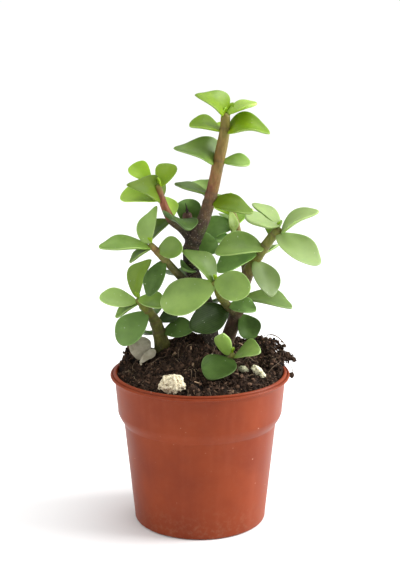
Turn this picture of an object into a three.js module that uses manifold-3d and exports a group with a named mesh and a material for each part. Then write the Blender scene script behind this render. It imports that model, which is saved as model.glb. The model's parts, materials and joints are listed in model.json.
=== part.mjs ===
// A young jade plant in a thin plastic nursery pot: four rooted stems with side shoots, their opposite
// fleshy leaves, a mound of potting mix, a lump of perlite and a fallen dry leaf.
// Millimetres, +Z up. The origin is the middle of the pot's flat foot, and -Y is the plant's front.

import * as THREE from 'three';
import { mergeVertices } from 'three/addons/utils/BufferGeometryUtils.js';
import Module from 'manifold-3d';

const wasm = await Module();
wasm.setup();
const { degToRad, lerp } = THREE.MathUtils;

// ---------------------------------------------------------------- driving dimensions

const POT_HEIGHT = 72;
const RIM_RADIUS = 42;
const LIP_HEIGHT = 2;
const COLLAR_RADIUS = 40;
const COLLAR_FOOT_RADIUS = 38.6;
const COLLAR_FOOT_HEIGHT = 53;
const WAIST_RADIUS = 35.7;
const WAIST_HEIGHT = 47.5;
const FOOT_RADIUS = 31;
const WALL = 1.1;
const BASE_THICKNESS = 1.6;
const POT_SIDES = 44;

const CHANNEL_INNER = 14;
const CHANNEL_OUTER = 25;
const CHANNEL_DEPTH = 1.5;
const DRAIN_COUNT = 6;
const DRAIN_RADIUS = 3.6;
const DRAIN_CIRCLE = 19.5;
const NOTCH_WIDTH = 5;

const GAP = 0.3;
const SOIL_EDGE = 68;
const SOIL_RISE = 11;
const SOIL_SPAN = 47;
const SOIL_SIDES = 36;

const STEM_SIDES = 10;
const STEM_STEP = 6;
const LEAF_SIDES = 8;
const LEAF_RINGS = 8;
const LEAF_THICKNESS = 2.3;
const LEAF_CUP = 0.17;
const LEAF_BEAK = 0.03;

// ---------------------------------------------------------------- finishes

const finishes = {
  terracottaPlastic: new THREE.MeshStandardMaterial({ color: 0xc1613f, roughness: 0.45 }),
  peat: new THREE.MeshStandardMaterial({ color: 0x3a2a20, roughness: 0.95 }),
  stemSkin: new THREE.MeshStandardMaterial({ color: 0x8a5a45, roughness: 0.6 }),
  young: new THREE.MeshStandardMaterial({ color: 0x8cc152, roughness: 0.45 }),
  mature: new THREE.MeshStandardMaterial({ color: 0x6a9f4c, roughness: 0.5 }),
  old: new THREE.MeshStandardMaterial({ color: 0x4b7a38, roughness: 0.5 }),
  perlite: new THREE.MeshStandardMaterial({ color: 0xe9e6dc, roughness: 0.95 }),
  dryLeaf: new THREE.MeshStandardMaterial({ color: 0xb9ad93, roughness: 0.9 }),
};

// ---------------------------------------------------------------- solids and booleans

// A closed geometry as a manifold-3d solid: only its positions count, with shared corners merged.
function solidOf(geometry) {
  const bare = geometry.clone();
  bare.deleteAttribute('normal');
  bare.deleteAttribute('uv');
  const merged = mergeVertices(bare, 1e-4);
  const vertProperties = new Float32Array(merged.attributes.position.array);
  const triVerts = new Uint32Array(merged.index.array);
  return new wasm.Manifold(new wasm.Mesh({ numProp: 3, vertProperties, triVerts }));
}

// A manifold-3d solid back as a three.js geometry.
function geometryOf(solid) {
  const { vertProperties, triVerts } = solid.getMesh();
  const geometry = new THREE.BufferGeometry();
  geometry.setAttribute('position', new THREE.BufferAttribute(vertProperties, 3));
  geometry.setIndex(new THREE.BufferAttribute(triVerts, 1));
  geometry.computeVertexNormals();
  return geometry;
}

function named(name, geometry, material) {
  const mesh = new THREE.Mesh(geometry, material);
  mesh.name = name;
  return mesh;
}

// Moves every vertex of a geometry by a function that changes the vector it is given.
function reshape(geometry, move) {
  const place = geometry.attributes.position;
  const point = new THREE.Vector3();
  for (let i = 0; i < place.count; i += 1) {
    point.fromBufferAttribute(place, i);
    move(point);
    place.setXYZ(i, point.x, point.y, point.z);
  }
  geometry.computeVertexNormals();
  return geometry;
}

// A turned solid about Z, from a profile of [radius, height] points that runs anticlockwise.
function turned(profile, sides) {
  const points = profile.map(([radius, height]) => new THREE.Vector2(radius, height));
  return new THREE.LatheGeometry(points, sides).rotateX(Math.PI / 2);
}

// ---------------------------------------------------------------- pot

// The rounded shoulder between the tapered body and the collar, at a share of its height.
function shoulder(share) {
  const bulge = (share + Math.sin((share * Math.PI) / 2)) / 2;
  const radius = WAIST_RADIUS + (COLLAR_FOOT_RADIUS - WAIST_RADIUS) * bulge;
  return [radius, lerp(WAIST_HEIGHT, COLLAR_FOOT_HEIGHT, share)];
}

// The wall's outer face from the foot up to the lip, as [radius, height].
const outerWall = [
  [FOOT_RADIUS, 0],
  [FOOT_RADIUS + 0.6, 1.2],
  ...[0, 1 / 3, 2 / 3, 1].map(shoulder),
  [COLLAR_RADIUS, POT_HEIGHT - LIP_HEIGHT],
];

// The lip rolls over the collar's top.
const lip = [
  [RIM_RADIUS - 0.3, POT_HEIGHT - LIP_HEIGHT],
  [RIM_RADIUS, POT_HEIGHT - LIP_HEIGHT + 0.4],
  [RIM_RADIUS, POT_HEIGHT - 0.7],
  [RIM_RADIUS - 0.7, POT_HEIGHT],
  [COLLAR_RADIUS - WALL + 0.5, POT_HEIGHT],
];

// The inner face, from the lip down to the floor.
const innerWall = [
  [COLLAR_RADIUS - WALL, POT_HEIGHT - 0.5],
  [COLLAR_FOOT_RADIUS - WALL, COLLAR_FOOT_HEIGHT + 0.4],
  [WAIST_RADIUS - WALL, WAIST_HEIGHT + 0.6],
  [FOOT_RADIUS - 0.2, CHANNEL_DEPTH + BASE_THICKNESS],
];

function pot() {
  const floor = [
    [0, 0],
    [CHANNEL_INNER, 0],
    [CHANNEL_INNER + 0.5, CHANNEL_DEPTH],
    [CHANNEL_OUTER - 0.5, CHANNEL_DEPTH],
    [CHANNEL_OUTER, 0],
  ];
  const floorTop = [
    [CHANNEL_INNER + 1, CHANNEL_DEPTH + BASE_THICKNESS],
    [CHANNEL_INNER - 1, BASE_THICKNESS],
    [0, BASE_THICKNESS],
  ];
  let solid = solidOf(turned([...floor, ...outerWall, ...lip, ...innerWall, ...floorTop], POT_SIDES));
  for (let i = 0; i < DRAIN_COUNT; i += 1) {
    const heading = ((i + 0.5) * 2 * Math.PI) / DRAIN_COUNT;
    const drill = new THREE.CylinderGeometry(DRAIN_RADIUS, DRAIN_RADIUS, 8, 16).rotateX(Math.PI / 2);
    drill.translate(DRAIN_CIRCLE * Math.cos(heading), DRAIN_CIRCLE * Math.sin(heading), 2);
    const notch = new THREE.BoxGeometry(8, NOTCH_WIDTH, 2 * CHANNEL_DEPTH - 0.2);
    notch.translate(CHANNEL_OUTER + 3, 0, 0).rotateZ(heading);
    solid = solid.subtract(solidOf(drill)).subtract(solidOf(notch));
  }
  return named('pot', geometryOf(solid), finishes.terracottaPlastic);
}

// ---------------------------------------------------------------- stems

// Each shoot is a path through points from its root end to its tip, with a radius at each point.
// Its leaves are rows of: name, place along the path, heading, rise, reach, roll, breadth, arch, age.
// Headings, rises and rolls are degrees. Reach is from the path's middle line to the leaf's tip. Breadth
// is a share of the reach, and so is arch, the height of the blade's middle over its chord.
const shoots = {
  leader: {
    path: [
      [5.5, 9, 60], [5.5, 9, 81], [4, 9, 94], [2, 7, 105], [-3, 5, 116], [-4.5, 4, 123], [-4, 4, 130],
      [-1, 4, 137], [2, 3, 144], [6, 3, 158], [8, 2, 168], [11, 1, 183], [11.5, 0, 192],
    ],
    radii: [4.2, 4, 3.6, 3.4, 3.3, 3.4, 3.6, 3.3, 3, 2.8, 2.7, 2.4, 2],
    leaves: [
      ['1a', 1, -140, 27, 19, 58, 0.62, 0.1, 'young'],
      ['1b', 1, 20, 15, 15, -10, 0.7, 0.05, 'young'],
      ['2a', 0.94, 170, 10, 16, 20, 0.75, 0.08, 'young'],
      ['2b', 0.94, -20, 0, 20.5, -30, 0.75, 0.15, 'young'],
      ['3a', 0.83, -165, 20, 21, 40, 0.72, 0.1, 'mature'],
      ['3b', 0.84, 0, -5, 14, -30, 0.7, 0.05, 'mature'],
      ['4a', 0.72, 170, 15, 17, 20, 0.5, 0.03, 'mature'],
      ['4b', 0.7, -25, -10, 21, -25, 0.72, 0.1, 'young'],
      ['5a', 0.52, 20, 10, 13, -50, 1, 0.05, 'old'],
      ['6a', 0.46, -105, 5, 11, 35, 1, 0.05, 'old'],
    ],
  },
  red: {
    path: [
      [-3, 5, 132], [-8, 3, 138.5], [-12.6, 0.5, 142.8], [-15, -1, 147], [-17.5, -2, 154], [-19, -2, 160],
    ],
    radii: [2.2, 2.2, 2.1, 2, 1.6, 1.4],
    leaves: [
      ['1a', 1, 150, 26, 16, 45, 0.72, 0.05, 'young'],
      ['1b', 0.98, 50, 40, 13, -20, 0.85, 0.05, 'young'],
      ['2a', 0.8, -157, 24, 17.5, 50, 0.74, 0.12, 'young'],
      ['2b', 0.81, 165, 0, 19, 30, 0.8, 0.1, 'young'],
      ['3a', 0.46, 163, -40, 15, 45, 0.75, 0.1, 'mature'],
      ['3c', 0.5, 110, 50, 11, -20, 0.75, 0.05, 'young'],
      ['3b', 0.5, -60, -9, 16, 16, 0.85, 0.1, 'old'],
    ],
  },
  stub: {
    path: [[-4, 5, 129], [-5.5, 9, 138], [-6, 9, 145.5]],
    radii: [2.4, 2.3, 2.2],
    leaves: [
      ['1a', 0.7, 88, 50, 12.5, 0, 1, 0.1, 'old'],
    ],
  },
  mid: {
    path: [
      [1.5, 4, 107.5], [-6, 0, 114], [-11.5, -4, 120.5], [-17, -7, 127.5], [-20.5, -8, 131.5],
      [-23, -9, 134],
    ],
    radii: [2, 2, 1.9, 1.8, 1.6, 1.4],
    leaves: [
      ['1a', 0.99, -165, 0, 22.3, 15, 0.65, 0.05, 'mature'],
      ['1b', 1, 68, 60, 17.5, 5, 0.62, -0.05, 'mature'],
      ['2a', 0.95, -170, -34, 12, 10, 0.6, 0.1, 'mature'],
      ['2b', 0.85, -20, 12, 12, -65, 0.95, 0, 'mature'],
      ['3a', 0.7, -155, -60, 17.5, 25, 0.75, 0, 'old'],
    ],
  },
  left: {
    path: [
      [-17, 12, 60], [-17.5, 12, 77], [-19, 10, 86], [-21, 8, 93], [-23.5, 6, 98], [-27, 3, 103],
      [-29.5, 2, 106],
    ],
    radii: [4.8, 4.2, 3.3, 2.7, 2.2, 1.9, 1.5],
    leaves: [
      ['1a', 1, -165, 5, 17, 40, 0.75, 0, 'mature'],
      ['1b', 1, 30, 65, 18.5, -12, 0.7, -0.05, 'young'],
      ['2a', 0.96, -165, -32, 13, 10, 0.6, 0.1, 'mature'],
      ['2b', 0.97, -25, -5, 13, -35, 0.85, 0.05, 'mature'],
      ['3a', 0.81, -160, -45, 20, 35, 0.88, 0, 'old'],
      ['3b', 0.66, 25, 15, 11, -30, 0.9, 0, 'old'],
      ['4a', 0.55, -10, 10, 16.5, -40, 0.8, 0, 'old'],
    ],
  },
  right: {
    path: [
      [10.5, 18, 60], [11.5, 18, 76], [13.8, 17, 84], [17, 15, 94], [19.5, 12, 105], [22, 10, 115],
      [25, 8, 122], [29.5, 6, 129], [34, 5, 135.5], [37, 4, 139],
    ],
    radii: [3.8, 3.6, 3.4, 3.3, 3.1, 2.9, 2.7, 2.4, 2.1, 1.9],
    leaves: [
      ['1a', 1, -15, 25, 19, -20, 0.7, 0.12, 'mature'],
      ['1b', 1, -160, 18, 18, 25, 0.66, -0.02, 'mature'],
      ['2a', 1, 135, 28, 19, 0, 0.58, 0.05, 'mature'],
      ['2b', 0.97, -30, -30, 25, -25, 0.72, 0.05, 'mature'],
      ['3a', 0.85, -160, -2, 23, 30, 0.78, 0.08, 'mature'],
      ['3b', 0.8, -175, -20, 20, 35, 0.8, 0.05, 'old'],
      ['4a', 0.77, -60, -45, 20, 5, 0.78, 0, 'mature'],
      ['5a', 0.54, -15, -10, 24, -20, 0.65, 0.08, 'mature'],
      ['6a', 0.42, -25, -50, 14, -50, 0.95, 0, 'old'],
    ],
  },
  front: {
    path: [[17, 15, 95], [12, 6, 102.5], [9, -2, 108.5], [7.5, -8, 114], [6.5, -10, 117]],
    radii: [2, 2, 1.9, 1.7, 1.5],
    leaves: [
      ['1a', 0.97, 175, 45, 20, 35, 0.7, 0.1, 'mature'],
      ['1b', 1, -20, -10, 17, -55, 0.95, 0, 'mature'],
      ['2a', 0.95, -175, -22, 26, 45, 0.8, 0, 'mature'],
      ['3a', 0.24, -141, -15, 23.5, 60, 0.7, 0, 'old'],
      ['3b', 0.31, -20, -5, 14, -35, 0.8, 0.05, 'old'],
    ],
  },
  back: {
    path: [[22, 10, 115], [20, 18, 125.5], [18, 22, 133.5], [16.5, 24, 140], [15, 24, 143.5]],
    radii: [1.9, 1.8, 1.7, 1.5, 1.3],
    leaves: [
      ['1a', 0.96, 145, 10, 11, 20, 0.7, 0.1, 'young'],
      ['1b', 0.97, -90, -55, 10.5, 20, 0.6, 0.1, 'young'],
      ['2a', 0.82, 50, 20, 13, 0, 0.7, 0.1, 'mature'],
      ['2b', 0.78, -175, -15, 17, 40, 0.75, 0.1, 'old'],
      ['3a', 0.55, 180, 0, 17, 20, 0.7, 0.05, 'old'],
    ],
  },
  low: {
    path: [[9, -4, 66], [10, -5, 75], [12, -7.5, 79], [14.5, -9, 81.5], [15.5, -10, 82.7]],
    radii: [1.8, 1.7, 1.6, 1.4, 1.3],
    leaves: [
      ['1a', 0.95, -130, 60, 13, -10, 0.7, 0.05, 'mature'],
      ['1b', 0.94, -28, 13, 14, -30, 0.88, 0.08, 'mature'],
      ['2a', 0.82, -119, -15, 19.5, 18, 1, 0, 'old'],
    ],
  },
};

for (const shoot of Object.values(shoots)) {
  shoot.curve = new THREE.CatmullRomCurve3(shoot.path.map((point) => new THREE.Vector3(...point)));
}

// The shoot's radius at a share of its length, between the radii at its points.
function radiusAt(shoot, share) {
  const last = shoot.radii.length - 1;
  const place = shoot.curve.getUtoTmapping(share) * last;
  const before = Math.min(Math.floor(place), last - 1);
  return lerp(shoot.radii[before], shoot.radii[before + 1], place - before);
}

// A tapering limb: a cylinder bent along the shoot's curve, thicker all round by spare.
function limb(shoot, spare = 0) {
  const { curve } = shoot;
  const steps = Math.max(4, Math.round(curve.getLength() / STEM_STEP));
  const frames = curve.computeFrenetFrames(steps, false);
  const straight = new THREE.CylinderGeometry(1, 1, 1, STEM_SIDES, steps);
  return reshape(straight, (point) => {
    const step = Math.round((point.y + 0.5) * steps);
    const radius = radiusAt(shoot, step / steps) + spare;
    const across = frames.normals[step].clone().multiplyScalar(point.x * radius);
    const aside = frames.binormals[step].clone().multiplyScalar(-point.z * radius);
    point.copy(curve.getPointAt(step / steps)).add(across).add(aside);
  });
}

function stem(name, ...limbs) {
  const joined = limbs.map((key) => solidOf(limb(shoots[key]))).reduce((sum, next) => sum.add(next));
  return named(name, geometryOf(joined), finishes.stemSkin);
}

// ---------------------------------------------------------------- leaves

// A fleshy blade along +X from the origin, its upper face to +Z: narrow at the foot, broad past its
// middle, with a short point, raised edges and an arched middle line.
function blade(length, breadth, arch) {
  const ball = new THREE.SphereGeometry(1, LEAF_SIDES, LEAF_RINGS);
  return reshape(ball, (point) => {
    const along = (1 - point.y) / 2;
    const ring = Math.hypot(point.x, point.z);
    const foot = 1 - 0.6 * (1 - along) ** 2;
    const aside = (-point.z * foot * breadth) / 2;
    const plump = ring > 0 ? point.x / Math.sqrt(ring) : 0;
    const skin = plump * LEAF_THICKNESS * (plump > 0 ? 0.4 : 0.6) * (0.6 + 0.4 * foot);
    const beak = along > 0.999 ? LEAF_BEAK : 0;
    const cupped = LEAF_CUP * breadth * ((2 * aside) / breadth) ** 2;
    const risen = 4 * arch * along * (1 - along);
    point.set((along + beak) * length, aside, skin + cupped + risen * length);
  });
}

// One leaf: its foot stands off the limb's skin, and its tip is at the row's reach from the middle line.
function leaf(key, row) {
  const [label, share, heading, rise, reach, roll, breadth, arch, age] = row;
  const shoot = shoots[key];
  const node = shoot.curve.getPointAt(share);
  const tangent = shoot.curve.getTangentAt(share);
  const facing = new THREE.Euler(0, -degToRad(rise), degToRad(heading), 'ZYX');
  const outward = new THREE.Vector3(1, 0, 0).applyEuler(facing);
  const sideways = outward.clone().addScaledVector(tangent, -outward.dot(tangent)).normalize();
  const foot = node.clone().addScaledVector(sideways, radiusAt(shoot, share) + GAP);
  const tip = node.clone().addScaledVector(outward, reach);
  const along = tip.clone().sub(foot);
  const length = along.length();
  along.normalize();
  const across = new THREE.Vector3(0, 0, 1).cross(along).normalize();
  const up = along.clone().cross(across);
  const tilt = new THREE.Quaternion().setFromAxisAngle(along, -degToRad(roll));
  across.applyQuaternion(tilt);
  up.applyQuaternion(tilt);
  const mesh = named(`${key}_leaf_${label}`, blade(length, breadth * reach, arch), finishes[age]);
  mesh.quaternion.setFromRotationMatrix(new THREE.Matrix4().makeBasis(along, across, up));
  mesh.position.copy(foot);
  return mesh;
}

// ---------------------------------------------------------------- perlite and the dry leaf

// A lump of expanded perlite, broken unevenly.
function lump(size, seed, spare = 0) {
  const stone = new THREE.IcosahedronGeometry(1, 1);
  return reshape(stone, (point) => {
    const uneven = 1 + 0.13 * Math.sin(3 * point.x + seed) * Math.cos(4 * point.y - seed);
    point.set(
      point.x * (size[0] * uneven + spare),
      point.y * (size[1] * uneven + spare),
      point.z * (size[2] * uneven + spare),
    );
  });
}

const lumps = {
  perlite_large: { size: [6.4, 5.2, 4.6], at: [-12.5, -27, 73.5], seed: 1 },
};

function placedLump({ size, at, seed }, spare) {
  return lump(size, seed, spare).translate(...at);
}

// A fallen leaf, dried and curled over its length.
function dryLeaf(spare = 0) {
  const ball = new THREE.SphereGeometry(1, 10, 8);
  const curled = reshape(ball, (point) => {
    const length = 6.5 + spare;
    const breadth = 3.6 + spare;
    const skin = 0.55 + spare;
    const [along, aside, thick] = [point.y * length, point.z * breadth, point.x * skin];
    point.set(along, aside, thick + 2.4 - 0.07 * along * along - 0.05 * aside * aside);
  });
  return curled.rotateX(0.9).rotateZ(-0.35).translate(-28.5, 5, 82);
}

// ---------------------------------------------------------------- soil

// Heaps on the mound: middle x and y, spread and height.
const heaps = [
  [-4, 12, 13, 7],
  [33, 18, 9, 8],
  [37, 3, 6, 4],
  [-32, 13, 9, 6],
  [14, 28, 12, 2.5],
  [-8, -22, 8, 1.2],
  [22, -22, 7, 1],
  [-24, -12, 7, 1],
];

function soilHeight(x, y) {
  const fall = ((x - 3) ** 2 + (y - 10) ** 2) / SOIL_SPAN ** 2;
  let height = SOIL_EDGE + SOIL_RISE * Math.max(0, 1 - fall);
  for (const [heapX, heapY, spread, rise] of heaps) {
    height += rise * Math.exp(-((x - heapX) ** 2 + (y - heapY) ** 2) / spread ** 2);
  }
  return height;
}

// The root ball fills the pot to just under the rim, with its top mounded, and a socket for each
// stem, lump and leaf that sits in it.
function soil() {
  const rimInside = COLLAR_RADIUS - WALL - GAP - 0.6;
  const ringCount = 8;
  const side = [
    [CHANNEL_INNER - 1, BASE_THICKNESS + GAP],
    [CHANNEL_INNER + 1, CHANNEL_DEPTH + BASE_THICKNESS + GAP],
    [FOOT_RADIUS - 0.7, CHANNEL_DEPTH + BASE_THICKNESS + GAP],
    [WAIST_RADIUS - WALL - GAP - 0.1, WAIST_HEIGHT + 0.8],
    [COLLAR_FOOT_RADIUS - WALL - GAP - 0.1, COLLAR_FOOT_HEIGHT + 0.6],
    [rimInside, 66],
  ];
  const top = [];
  for (let i = ringCount; i >= 0; i -= 1) {
    top.push([(i / ringCount) * (rimInside - 0.5), SOIL_EDGE]);
  }
  const ball = reshape(turned([[0, BASE_THICKNESS + GAP], ...side, ...top], SOIL_SIDES), (point) => {
    if (point.z > SOIL_EDGE - 0.5) {
      point.z = soilHeight(point.x, point.y);
    }
  });
  let solid = solidOf(ball);
  for (const key of ['leader', 'left', 'right', 'low']) {
    solid = solid.subtract(solidOf(limb(shoots[key], GAP)));
  }
  for (const placed of Object.values(lumps)) {
    solid = solid.subtract(solidOf(placedLump(placed, GAP)));
  }
  solid = solid.subtract(solidOf(dryLeaf(GAP)));
  return named('soil', geometryOf(solid), finishes.peat);
}

// ---------------------------------------------------------------- assembly

const group = new THREE.Group();
group.add(pot(), soil());
group.add(stem('centre_stem', 'leader', 'red', 'stub', 'mid'));
group.add(stem('right_stem', 'right', 'front', 'back'));
group.add(stem('left_stem', 'left'));
group.add(stem('low_stem', 'low'));
for (const [key, shoot] of Object.entries(shoots)) {
  group.add(...shoot.leaves.map((row) => leaf(key, row)));
}
for (const [name, placed] of Object.entries(lumps)) {
  group.add(named(name, placedLump(placed), finishes.perlite));
}
group.add(named('dry_leaf', dryLeaf(), finishes.dryLeaf));

export default group;
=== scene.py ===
"""The looks of a young potted jade plant: fleshy leaves in opposite pairs on four rooted stems, a mound of
crumbly potting mix, perlite, dry fallen leaves and a thin terracotta-coloured nursery pot.
Everything is in metres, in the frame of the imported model; MM turns the plant's own millimetres into metres.
"""
import json
import math
import random

import bmesh
import bpy
from mathutils import Matrix, Quaternion, Vector, noise


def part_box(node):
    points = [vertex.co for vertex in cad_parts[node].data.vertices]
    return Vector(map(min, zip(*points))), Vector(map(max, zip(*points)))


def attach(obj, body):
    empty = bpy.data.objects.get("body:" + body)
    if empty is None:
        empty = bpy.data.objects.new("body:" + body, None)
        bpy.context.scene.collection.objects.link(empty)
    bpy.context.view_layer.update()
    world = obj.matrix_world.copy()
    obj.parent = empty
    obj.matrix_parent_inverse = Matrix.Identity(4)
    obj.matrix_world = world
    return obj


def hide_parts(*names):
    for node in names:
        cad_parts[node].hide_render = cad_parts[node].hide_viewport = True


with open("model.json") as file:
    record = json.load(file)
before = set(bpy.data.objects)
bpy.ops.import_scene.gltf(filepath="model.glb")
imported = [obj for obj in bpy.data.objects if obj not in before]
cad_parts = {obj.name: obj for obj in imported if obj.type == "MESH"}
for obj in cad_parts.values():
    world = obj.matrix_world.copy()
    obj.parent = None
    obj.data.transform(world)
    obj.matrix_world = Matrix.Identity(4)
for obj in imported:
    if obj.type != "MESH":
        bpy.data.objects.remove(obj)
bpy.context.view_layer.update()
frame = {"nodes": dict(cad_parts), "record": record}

MM = 0.001
SLOT_OF = {part["node"]: part["material_slot"] for part in frame["record"]["subparts"]}


# ---------------------------------------------------------------- the plant's driving dimensions

# Millimetres, unless a line says otherwise.
RIM_RADIUS = 42
POT_HEIGHT = 72
COLLAR_RADIUS = 40
COLLAR_FOOT = (38.6, 53)
WAIST = (35.7, 47.5)
FOOT_RADIUS = 31
WALL = 1.1
BASE_THICKNESS = 1.6
CHANNEL_INNER, CHANNEL_OUTER, CHANNEL_DEPTH = 14, 25, 1.5
DRAIN_COUNT, DRAIN_RADIUS, DRAIN_CIRCLE = 6, 3.6, 19.5
NOTCH_WIDTH = 5
SEAM_TURN, SEAM_WIDTH, SEAM_SWELL = 0.22, 0.5, 0.0022  # its turn from the front is in radians

SOIL_EDGE = 68
SOIL_RISE = 11
SOIL_SPAN = 47
SOIL_RADIUS = 38.4
SOIL_GAP = 0.3  # between the mix and the pot's floor
SOIL_WALL_GAP = 0.4  # between the mix and the pot's wall

RING_WIDTH, RING_SWELL = 0.9, 0.07
SCAR_PLACE, SCAR_WIDTH, SCAR_DEPTH = 1.5, 0.5, 0.02  # its place past the ring
FORK_LENGTH, FORK_SWELL = 2.6, 0.35
TIP_ROUNDING = 0.8  # as a share of the radius

LEAF_THICKNESS = 2.5
LEAF_UPPER = 0.38  # the share of the thickness above the blade's middle sheet
LEAF_CUP = 0.17
LEAF_ROOTING = 1.5  # how far the foot runs into the stem
NODE_SPACING = 2.5  # two leaf feet nearer than this share one ring on the stem

# Each shoot's path in millimetres, and at each of its points its radius, how woody it is (1 is bark, 0 is
# soft and green; above 1 the bark is painted darker, as painted shade where the trunk stands in the crown's
# shadow) and how red it blushes.
SHOOTS = {
    "leader": dict(
        path=[(5.5, 9, 60), (5.5, 9, 81), (4, 9, 94), (2, 7, 105), (-3, 5, 116), (-4.5, 4, 123), (-4, 4, 130),
              (-1, 4, 137), (2, 3, 144), (6, 3, 158), (8, 2, 168), (11, 1, 183), (11.5, 0, 192)],
        radii=[4.2, 4, 3.6, 3.4, 3.3, 3.4, 3.6, 3.3, 3, 2.8, 2.7, 2.4, 2],
        woody_and_shade=[1.6, 1.6, 1.6, 1.6, 1.7, 1.7, 1.6, 1.25, 0.8, 0.35, 0.15, 0.1, 0.1],
        blush=[0.3, 0.3, 0.3, 0.3, 0.3, 0.3, 0.3, 0.3, 0.6, 0.9, 0.6, 0.35, 0.2]),
    "red": dict(
        path=[(-3, 5, 132), (-8, 3, 138.5), (-12.6, 0.5, 142.8), (-15, -1, 147), (-17.5, -2, 154),
              (-19, -2, 160)],
        radii=[2.2, 2.2, 2.1, 2, 1.6, 1.4],
        woody_and_shade=[1.6, 1.4, 0.8, 0.05, 0, 0],
        blush=[0.4, 0.4, 0.6, 1.25, 1.2, 0.2]),
    "stub": dict(
        path=[(-4, 5, 129), (-5.5, 9, 138), (-6, 9, 145.5)],
        radii=[2.4, 2.3, 2.2],
        woody_and_shade=[1.1, 1, 0.9],
        blush=[0.6, 1.5, 1.8]),
    "mid": dict(
        path=[(1.5, 4, 107.5), (-6, 0, 114), (-11.5, -4, 120.5), (-17, -7, 127.5), (-20.5, -8, 131.5),
              (-23, -9, 134)],
        radii=[2, 2, 1.9, 1.8, 1.6, 1.4],
        woody_and_shade=[1.1, 0.9, 0.6, 0.3, 0.15, 0.05],
        blush=[0.2, 0.2, 0.1, 0.1, 0.6, 0.1]),
    "left": dict(
        path=[(-17, 12, 60), (-17.5, 12, 77), (-19, 10, 86), (-21, 8, 93), (-23.5, 6, 98), (-27, 3, 103),
              (-29.5, 2, 106)],
        radii=[4.8, 4.2, 3.3, 2.7, 2.2, 1.9, 1.5],
        woody_and_shade=[0.55, 0.5, 0.5, 0.45, 0.35, 0.15, 0],
        blush=[0.1, 0.1, 0.05, 0, 0, 0, 0]),
    "right": dict(
        path=[(10.5, 18, 60), (11.5, 18, 76), (13.8, 17, 84), (17, 15, 94), (19.5, 12, 105), (22, 10, 115),
              (25, 8, 122), (29.5, 6, 129), (34, 5, 135.5), (37, 4, 139)],
        radii=[3.8, 3.6, 3.4, 3.3, 3.1, 2.9, 2.7, 2.4, 2.1, 1.9],
        woody_and_shade=[0.9, 0.85, 0.8, 0.8, 0.75, 0.6, 0.3, 0.1, 0.05, 0],
        blush=[1.2, 1.2, 1.0, 0.6, 0.5, 0.5, 0.1, 0.05, 0, 0]),
    "front": dict(
        path=[(17, 15, 95), (12, 6, 102.5), (9, -2, 108.5), (7.5, -8, 114), (6.5, -10, 117)],
        radii=[2, 2, 1.9, 1.7, 1.5],
        woody_and_shade=[0.8, 0.6, 0.35, 0.1, 0],
        blush=[0.1, 0.05, 0, 0, 0]),
    "back": dict(
        path=[(22, 10, 115), (20, 18, 125.5), (18, 22, 133.5), (16.5, 24, 140), (15, 24, 143.5)],
        radii=[1.9, 1.8, 1.7, 1.5, 1.3],
        woody_and_shade=[0.6, 0.3, 0.15, 0, 0],
        blush=[0.3, 0.4, 0.4, 0.2, 0]),
    "low": dict(
        path=[(9, -4, 66), (10, -5, 75), (12, -7.5, 79), (14.5, -9, 81.5), (15.5, -10, 82.7)],
        radii=[1.8, 1.7, 1.6, 1.4, 1.3],
        woody_and_shade=[1.2, 1.1, 0.8, 0.4, 0.1],
        blush=[0, 0, 0, 0, 0]),
}
STEMS = {
    "centre_stem": ("leader", "red", "stub", "mid"),
    "right_stem": ("right", "front", "back"),
    "left_stem": ("left",),
    "low_stem": ("low",),
}

# Small leaves at the nodes behind and inside the crown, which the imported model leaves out: shoot, name,
# place along the shoot, heading, rise, reach, roll, breadth and arch as shares of the reach, and slot.
SMALL_LEAVES = [
    ("leader", "1c", 0.985, 60, 40, 9, 0, 0.6, 0.05, "young_leaf"),
    ("leader", "2c", 0.93, 100, 20, 11, 0, 0.7, 0.05, "young_leaf"),
    ("leader", "3c", 0.83, 95, 15, 12, 0, 0.75, 0.05, "mature_leaf"),
    ("leader", "4c", 0.71, 110, 20, 16, 0, 0.75, 0.05, "mature_leaf"),
    ("leader", "4d", 0.69, 60, 5, 14, 0, 0.75, 0.05, "mature_leaf"),
    ("leader", "5c", 0.55, 95, 5, 17, 0, 0.85, 0.05, "old_leaf"),
    ("leader", "6c", 0.42, 130, -5, 18, 0, 0.85, 0.05, "old_leaf"),
    ("leader", "7c", 0.3, 80, -10, 16, 10, 0.85, 0.05, "old_leaf"),
    ("left", "3c", 0.72, 100, 0, 15, 0, 0.85, 0.05, "old_leaf"),
    ("left", "4c", 0.52, 120, -10, 14, 0, 0.85, 0.05, "old_leaf"),
    ("right", "2c", 0.93, 85, 20, 15, 0, 0.7, 0.1, "mature_leaf"),
    ("right", "3c", 0.8, 60, 5, 17, 0, 0.75, 0.05, "mature_leaf"),
    ("right", "5c", 0.55, 100, 10, 15, 0, 0.75, 0.05, "old_leaf"),
    ("right", "6c", 0.4, 105, -15, 18, 0, 0.85, 0.05, "old_leaf"),
    ("back", "1c", 1.0, 95, 55, 9, 0, 0.7, 0.1, "young_leaf"),
    ("back", "2c", 0.8, 110, 5, 16, 0, 0.75, 0.1, "mature_leaf"),
]


# ---------------------------------------------------------------- small helpers

def smoothstep(low, high, value):
    """0 below low, 1 above high, and smooth between."""
    share = min(1.0, max(0.0, (value - low) / (high - low)))
    return share * share * (3 - 2 * share)


def lerp(a, b, share):
    return a + (b - a) * share


def scaled(bm, factor):
    bmesh.ops.scale(bm, vec=(factor, factor, factor), verts=bm.verts)


def mesh_of(name, bm):
    """A mesh from a bmesh, which is freed."""
    mesh = bpy.data.meshes.new(name)
    bm.to_mesh(mesh)
    bm.free()
    return mesh


def placed(name, data):
    """An object in the scene that holds a mesh, a lamp or a lens."""
    thing = bpy.data.objects.new(name, data)
    bpy.context.scene.collection.objects.link(thing)
    return thing


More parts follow.
